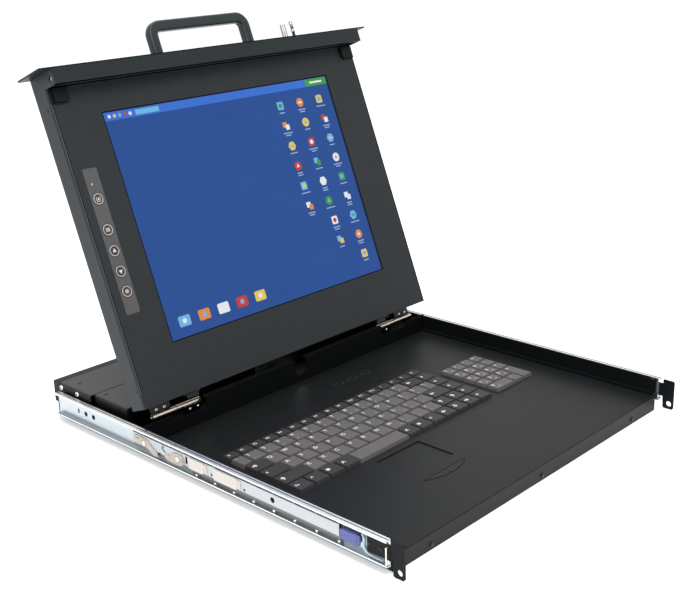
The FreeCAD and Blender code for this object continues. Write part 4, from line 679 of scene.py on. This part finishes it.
def add_posts():
    """Knurled thumbscrew and turned plunger knob."""
    place = post_at(THUMB_X)
    bm = bmesh.new()
    lathe(bm, place, [(0.0, 1.8), (1.2, 1.8), (1.2, 2.7), (2.6, 3.0), (3.6, 3.0), (3.6, 2.3), (5.0, 2.3)], 20)
    rings = []
    for along, radius in ((5.0, 2.9), (5.4, 3.15), (19.9, 3.15), (THUMB_TOP, 2.7)):
        reach = [radius - KNURL_DEEP * (i % 2) for i in range(KNURLS)]
        rings.append([bm.verts.new(place(r * math.cos(t), r * math.sin(t), along))
                      for r, t in zip(reach, turns(KNURLS))])
    for low, high in zip(rings, rings[1:]):
        wall(bm, low, high)
    bm.faces.new(rings[0])
    bm.faces.new(rings[-1])
    # Screwdriver slot, painted dark as shade.
    flat_shape(bm, panel(0, 0, 4.2, 0.9), lambda a, b, out: place(a, b, THUMB_TOP + out), 0.02, 1)
    piece("knurled_thumbscrew", bm, M["chrome"], "thumbscrew", ("thumbscrew",), [M["recess"]])
    bm = bmesh.new()
    lathe(bm, post_at(PLUNGER_X),
          [(0.0, 1.8), (10.3, 1.8), (10.4, 2.0), (11.0, 2.2), (14.0, 2.2), (14.2, 1.8), (14.8, 1.8),
           (15.0, 2.2), (22.6, 2.2), (23.3, 1.7)], 20)
    piece("plunger_knob", bm, M["chrome"], "release_plunger", ("release_plunger",))


# ---- screws: places in tray or lid millimetres, as the solids have them -----------------
LIP_SCREWS_X = (-162.0, 0.0, 162.0)
COVER_SCREWS_X, COVER_SCREWS_Y = (-197.5, 0.0, 197.5), (450.0, 403.0)
COVER_SIDE_Y = (435.1, 463.9)
EAR_SCREWS_YZ = ((7.5, 22.0), (20.0, 22.2))
TRAY_LEAF_X, LID_LEAF_X = (140.5, 151.0), (179.5, 189.5)
LID_CHEEK_ZY = ((314.0, -8.4), (30.4, -9.9))


def add_screws():
    """Cross-recess screws in place of the plain heads."""
    dark, bright = bmesh.new(), bmesh.new()
    for x in LIP_SCREWS_X:
        cross_screw(dark, tray_mm(x, 0, 5.0), (0, -1, 0), 2.3, 1.1)
    for side in (-1, 1):
        for y in COVER_SIDE_Y:
            cross_screw(bright, tray_mm(side * 211.0, y, 36.9), (side, 0, 0), 3.0, 1.4, turn=0.7)
        for y, z in EAR_SCREWS_YZ:
            cross_screw(dark, tray_mm(side * 216.5, y, z), (side, 0, 0), 1.8, 0.6)
        for x in TRAY_LEAF_X:
            cross_screw(bright, tray_mm(side * x, 324.8, 31.4), (0, -1, 0), 1.9, 1.3)
    for x in COVER_SCREWS_X:
        for y in COVER_SCREWS_Y:
            cross_screw(dark, tray_mm(x, y, 42.0), (0, 0, 1), 2.2, 0.45)
    piece("tray_screw_heads", dark, M["screw"], "tray", ("tray_screws",), [M["recess"]])
    piece("tray_bright_screws", bright, M["bright_screw"], "tray", more=[M["recess"]])
    dark, bright = bmesh.new(), bmesh.new()
    turn = LID.to_3x3()
    for side in (-1, 1):
        for z, y in LID_CHEEK_ZY:
            cross_screw(dark, lid_mm(side * 212.0, y, z), (side, 0, 0), 1.8, 0.35)
        for x in LID_LEAF_X:
            cross_screw(bright, lid_mm(side * x, 0, 6.2), turn @ Vector((0, -1, 0)), 1.9, 1.1)
        cross_screw(dark, lid_mm(side * HANDLE_X, POST_Y, FASCIA_IN), turn @ Vector((0, 0, -1)), 3.3, 2.0)
    piece("lid_screw_heads", dark, M["screw"], "lid", ("lid_screws",), [M["recess"]])
    piece("lid_bright_screws", bright, M["bright_screw"], "lid", more=[M["recess"]])


# ---- tray dressing, in tray millimetres -------------------------------------------------
LENS_X, LENS_Y, DECK_TOP = (20.0, 41.5, 63.0), 279.5, 15.5
SLIDE_IN, SLIDE_FACE = 213.8, 5.9        # inner face of a slide, and its depth to the outer face
SLIDE_FOOT, SLIDE_TOP = 9.0, 33.5
CHANNEL_LONG, CHANNEL_MID = 466.4, 232.2
FLANGE, BALL_FIT, BALL_R = 1.1, 0.25, 1.5
BALL_Z = (SLIDE_FOOT + FLANGE + BALL_FIT + BALL_R, SLIDE_TOP - FLANGE - BALL_FIT - BALL_R)
BALL_COUNT, BALL_START, BALL_PITCH = 8, 53.4, 26.2
LEVER_PINS = (("rear", 312.2, 22.2), ("front", 260.9, 21.3))


def add_deck_prints():
    """Printed frames and bars at the three indicator windows."""
    bm = bmesh.new()
    for x in LENS_X:
        place = lambda a, b, h, x=x: tray_mm(x + a, LENS_Y + b, DECK_TOP + h)
        raised = lambda a, b, h, x=x: tray_mm(x + a, LENS_Y + b, DECK_TOP + 0.02 + h)
        ring_shape(bm, panel(0, 0, 13.4, 5.8, 0.8), panel(0, 0, 12.6, 5.0, 0.6), place, 0.04)
        for k in (-1, 0, 1):
            flat_shape(bm, panel(k * 3.2, 0, 1.8, 1.1), raised, 0.03)
    piece("indicator_prints", bm, M["outline"], "tray")


def add_pad_outlines():
    """Dark joint line round the two pad buttons."""
    for side in ("left", "right"):
        mesh = NODES[f"{side}_touchpad_button"].data
        top = max(v.co.z for v in mesh.vertices)
        edges = {}
        for polygon in mesh.polygons:
            if min(mesh.vertices[i].co.z for i in polygon.vertices) > top - 1e-5:
                for key in polygon.edge_keys:
                    edges[key] = edges.get(key, 0) + 1
        rim = [key for key, uses in edges.items() if uses == 1]
        middle = sum((mesh.vertices[i].co for key in rim for i in key), Vector()) / (2 * len(rim))
        bm = bmesh.new()
        for a, b in rim:
            p, q = mesh.vertices[a].co, mesh.vertices[b].co
            out = (q - p).cross(Vector((0, 0, 1))).normalized()
            if out.dot((p + q) / 2 - middle) < 0:
                out.negate()
            lift = Vector((0, 0, PRINT_LIFT))
            near, far = out * 0.0001, out * 0.00055
            corners = [p - near + lift, q - near + lift, q + far + lift, p + far + lift]
            bm.faces.new([bm.verts.new(c) for c in corners])
        piece(f"{side}_pad_outline", bm, M["joint_and_shadow"], "tray")


def add_slide_trim():
    """Bright end lug of each slide, painted highlight strips and painted shade lines on its flange rims and
    front end, smooth balls, and lever rivets on rings of painted shade.
    """
    profile = [(BALL_R * math.sin(math.radians(a)), BALL_R * math.cos(math.radians(a)))
               for a in (-80, -55, -28, 0, 28, 55, 80)]
    for side, name in ((-1, "left"), (1, "right")):
        across = lambda s: side * (SLIDE_IN + s)
        on_top = lambda a, b, h: tray_mm(across(a), b, SLIDE_TOP + h)
        on_face = lambda a, b, h: tray_mm(across(SLIDE_FACE + h), b, a)
        bm = bmesh.new()
        flat_shape(bm, panel(-0.4, 19.4, 1.5, 16.4, 0.6), lambda a, b, h: tray_mm(across(2.8 + h), a, b), 2.9)
        piece(f"{name}_slide_lug", bm, M["bright_screw"], "tray")
        bm = bmesh.new()
        # Painted highlights on the top flange's two ridges, with a painted shade line in the groove between
        # them.
        for s, w, slot in ((1.4, 1.5, 0), (2.8, 1.1, 1), (4.6, 2.3, 0)):
            flat_shape(bm, panel(s, CHANNEL_MID, w, CHANNEL_LONG, 0.2), on_top, 0.06, slot)
        # On the outer face: a painted shadow line at the foot, and painted highlights on the lower lip and
        # near the top.
        for z, w, slot in ((9.3, 0.5, 1), (10.25, 1.2, 0), (32.5, 1.5, 0)):
            flat_shape(bm, panel(z, CHANNEL_MID, w, CHANNEL_LONG, 0.2), on_face, 0.06, slot)
        # Painted highlight down the channel's front end.
        flat_shape(bm, panel(across(0.8), 22.6, 1.7, 17.5, 0.4),
                   lambda a, b, h: tray_mm(a, -0.05 - h, b), 0.1)
        piece(f"{name}_painted_rim_lines", bm, M["slide_highlight"], "tray", more=[M["recess"]])
        bm = bmesh.new()
        for i in range(BALL_COUNT):
            for z in BALL_Z:
                centre = tray_mm(across(3.05), BALL_START + BALL_PITCH * i, z)
                lathe(bm, frame_at(centre, (side, 0, 0)), profile, 14)
        piece(f"{name}_balls", bm, M["ball"], f"{name}_ball_cage")
        for lever, y, z in LEVER_PINS:
            bm = bmesh.new()
            lathe(bm, frame_at(tray_mm(across(6.5), y, z), (side, 0, 0)),
                  [(0.0, 2.7), (0.25, 2.7), (0.5, 2.4), (0.65, 1.6), (0.7, 0.8)], 20)
            # Darker ring round each rivet head, painted shade where the boss meets the member.
            lathe(bm, frame_at(tray_mm(across(6.45), y, z), (side, 0, 0)), [(0.0, 3.3), (0.2, 3.3)], 20, 1)
            piece(f"{name}_{lever}_rivet", bm, M["rivet"], f"{name}_slide_member", more=[M["cage"]])


# ---- stage, camera and light ------------------------------------------------------------
def seen_rays(nt):
    """One for camera, glossy and transmission rays, zero for the light that reaches the object."""
    path = nt.nodes.new("ShaderNodeLightPath")
    seen = path.outputs["Is Camera Ray"]
    for kind in ("Is Glossy Ray", "Is Transmission Ray"):
        seen = calc(nt, "MAXIMUM", seen, path.outputs[kind])
    return seen


def add_floor():
    """Pale floor, lifted to white where it is seen, so only the soft shadow shows."""
    bm = bmesh.new()
    bmesh.ops.create_grid(bm, x_segments=1, y_segments=1, size=30)
    mesh = bpy.data.meshes.new("floor")
    bm.to_mesh(mesh)
    bm.free()
    floor = bpy.data.objects.new("floor", mesh)
    floor.location = (0, 0, CAD_BOX[0].z - 0.0006)
    bpy.context.scene.collection.objects.link(floor)
    m = bpy.data.materials.new("floor_white")
    m.use_nodes = True
    nt = m.node_tree
    shader = nt.nodes["Principled BSDF"]
    shader.inputs["Base Color"].default_value = (0.93, 0.93, 0.93, 1)
    shader.inputs["Roughness"].default_value = 0.9
    shader.inputs["Specular IOR Level"].default_value = 0.0
    shader.inputs["Emission Color"].default_value = (1, 1, 1, 1)
    nt.links.new(calc(nt, "MULTIPLY", seen_rays(nt), 0.43), shader.inputs["Emission Strength"])
    mesh.materials.append(m)


def add_world():
    """White surroundings, dimmer for the light that reaches the object."""
    world = bpy.data.worlds.new("studio")
    bpy.context.scene.world = world
    world.use_nodes = True
    nt = world.node_tree
    level = nt.nodes.new("ShaderNodeMapRange")
    level.inputs["To Min"].default_value = 0.62
    level.inputs["To Max"].default_value = 1.0
    nt.links.new(seen_rays(nt), level.inputs["Value"])
    nt.links.new(level.outputs["Result"], nt.nodes["Background"].inputs["Strength"])
    nt.nodes["Background"].inputs["Color"].default_value = (1, 1, 1, 1)


def add_light(name, at, to, size, power):
    """Round area lamp at one point, turned to another."""
    data = bpy.data.lights.new(name, "AREA")
    data.shape = "DISK"
    data.size = size
    data.energy = power
    lamp = bpy.data.objects.new(name, data)
    lamp.location = at
    lamp.rotation_mode = "QUATERNION"
    lamp.rotation_quaternion = (Vector(to) - Vector(at)).to_track_quat("-Z", "Y")
    bpy.context.scene.collection.objects.link(lamp)


def add_camera():
    """Camera of the photograph, solved from its straight edges."""
    turn, pitch, roll = math.radians(43.888), math.radians(-18.317), math.radians(-1.697)
    ahead = Vector((math.cos(turn) * math.cos(pitch), math.sin(turn) * math.cos(pitch), math.sin(pitch)))
    right = ahead.cross(Vector((0, 0, 1))).normalized()
    up = right.cross(ahead)
    right, up = (right * math.cos(roll) + up * math.sin(roll),
                 -right * math.sin(roll) + up * math.cos(roll))
    data = bpy.data.cameras.new("camera")
    data.sensor_width = 36.0
    data.lens = 60.25
    data.clip_start = 0.05
    cam = bpy.data.objects.new("camera", data)
    axes = Matrix((right, up, -ahead)).transposed().to_4x4()
    cam.matrix_world = Matrix.Translation(tray_mm(-815.7, -535.7, 504.1)) @ axes
    bpy.context.scene.collection.objects.link(cam)
    bpy.context.scene.camera = cam


add_legends()
add_picture()
add_lid_trim()
add_controls()
add_handle()
add_posts()
add_screws()
add_deck_prints()
add_pad_outlines()
add_slide_trim()
add_floor()
add_world()
add_light("key_light", (-0.9, -1.1, 1.9), (0, 0, 0.1), 1.2, 34)
add_light("top_light", (0.4, 0.5, 2.2), (0, 0.1, 0.1), 1.6, 22)
add_camera()
bpy.context.scene.view_settings.view_transform = "Standard"
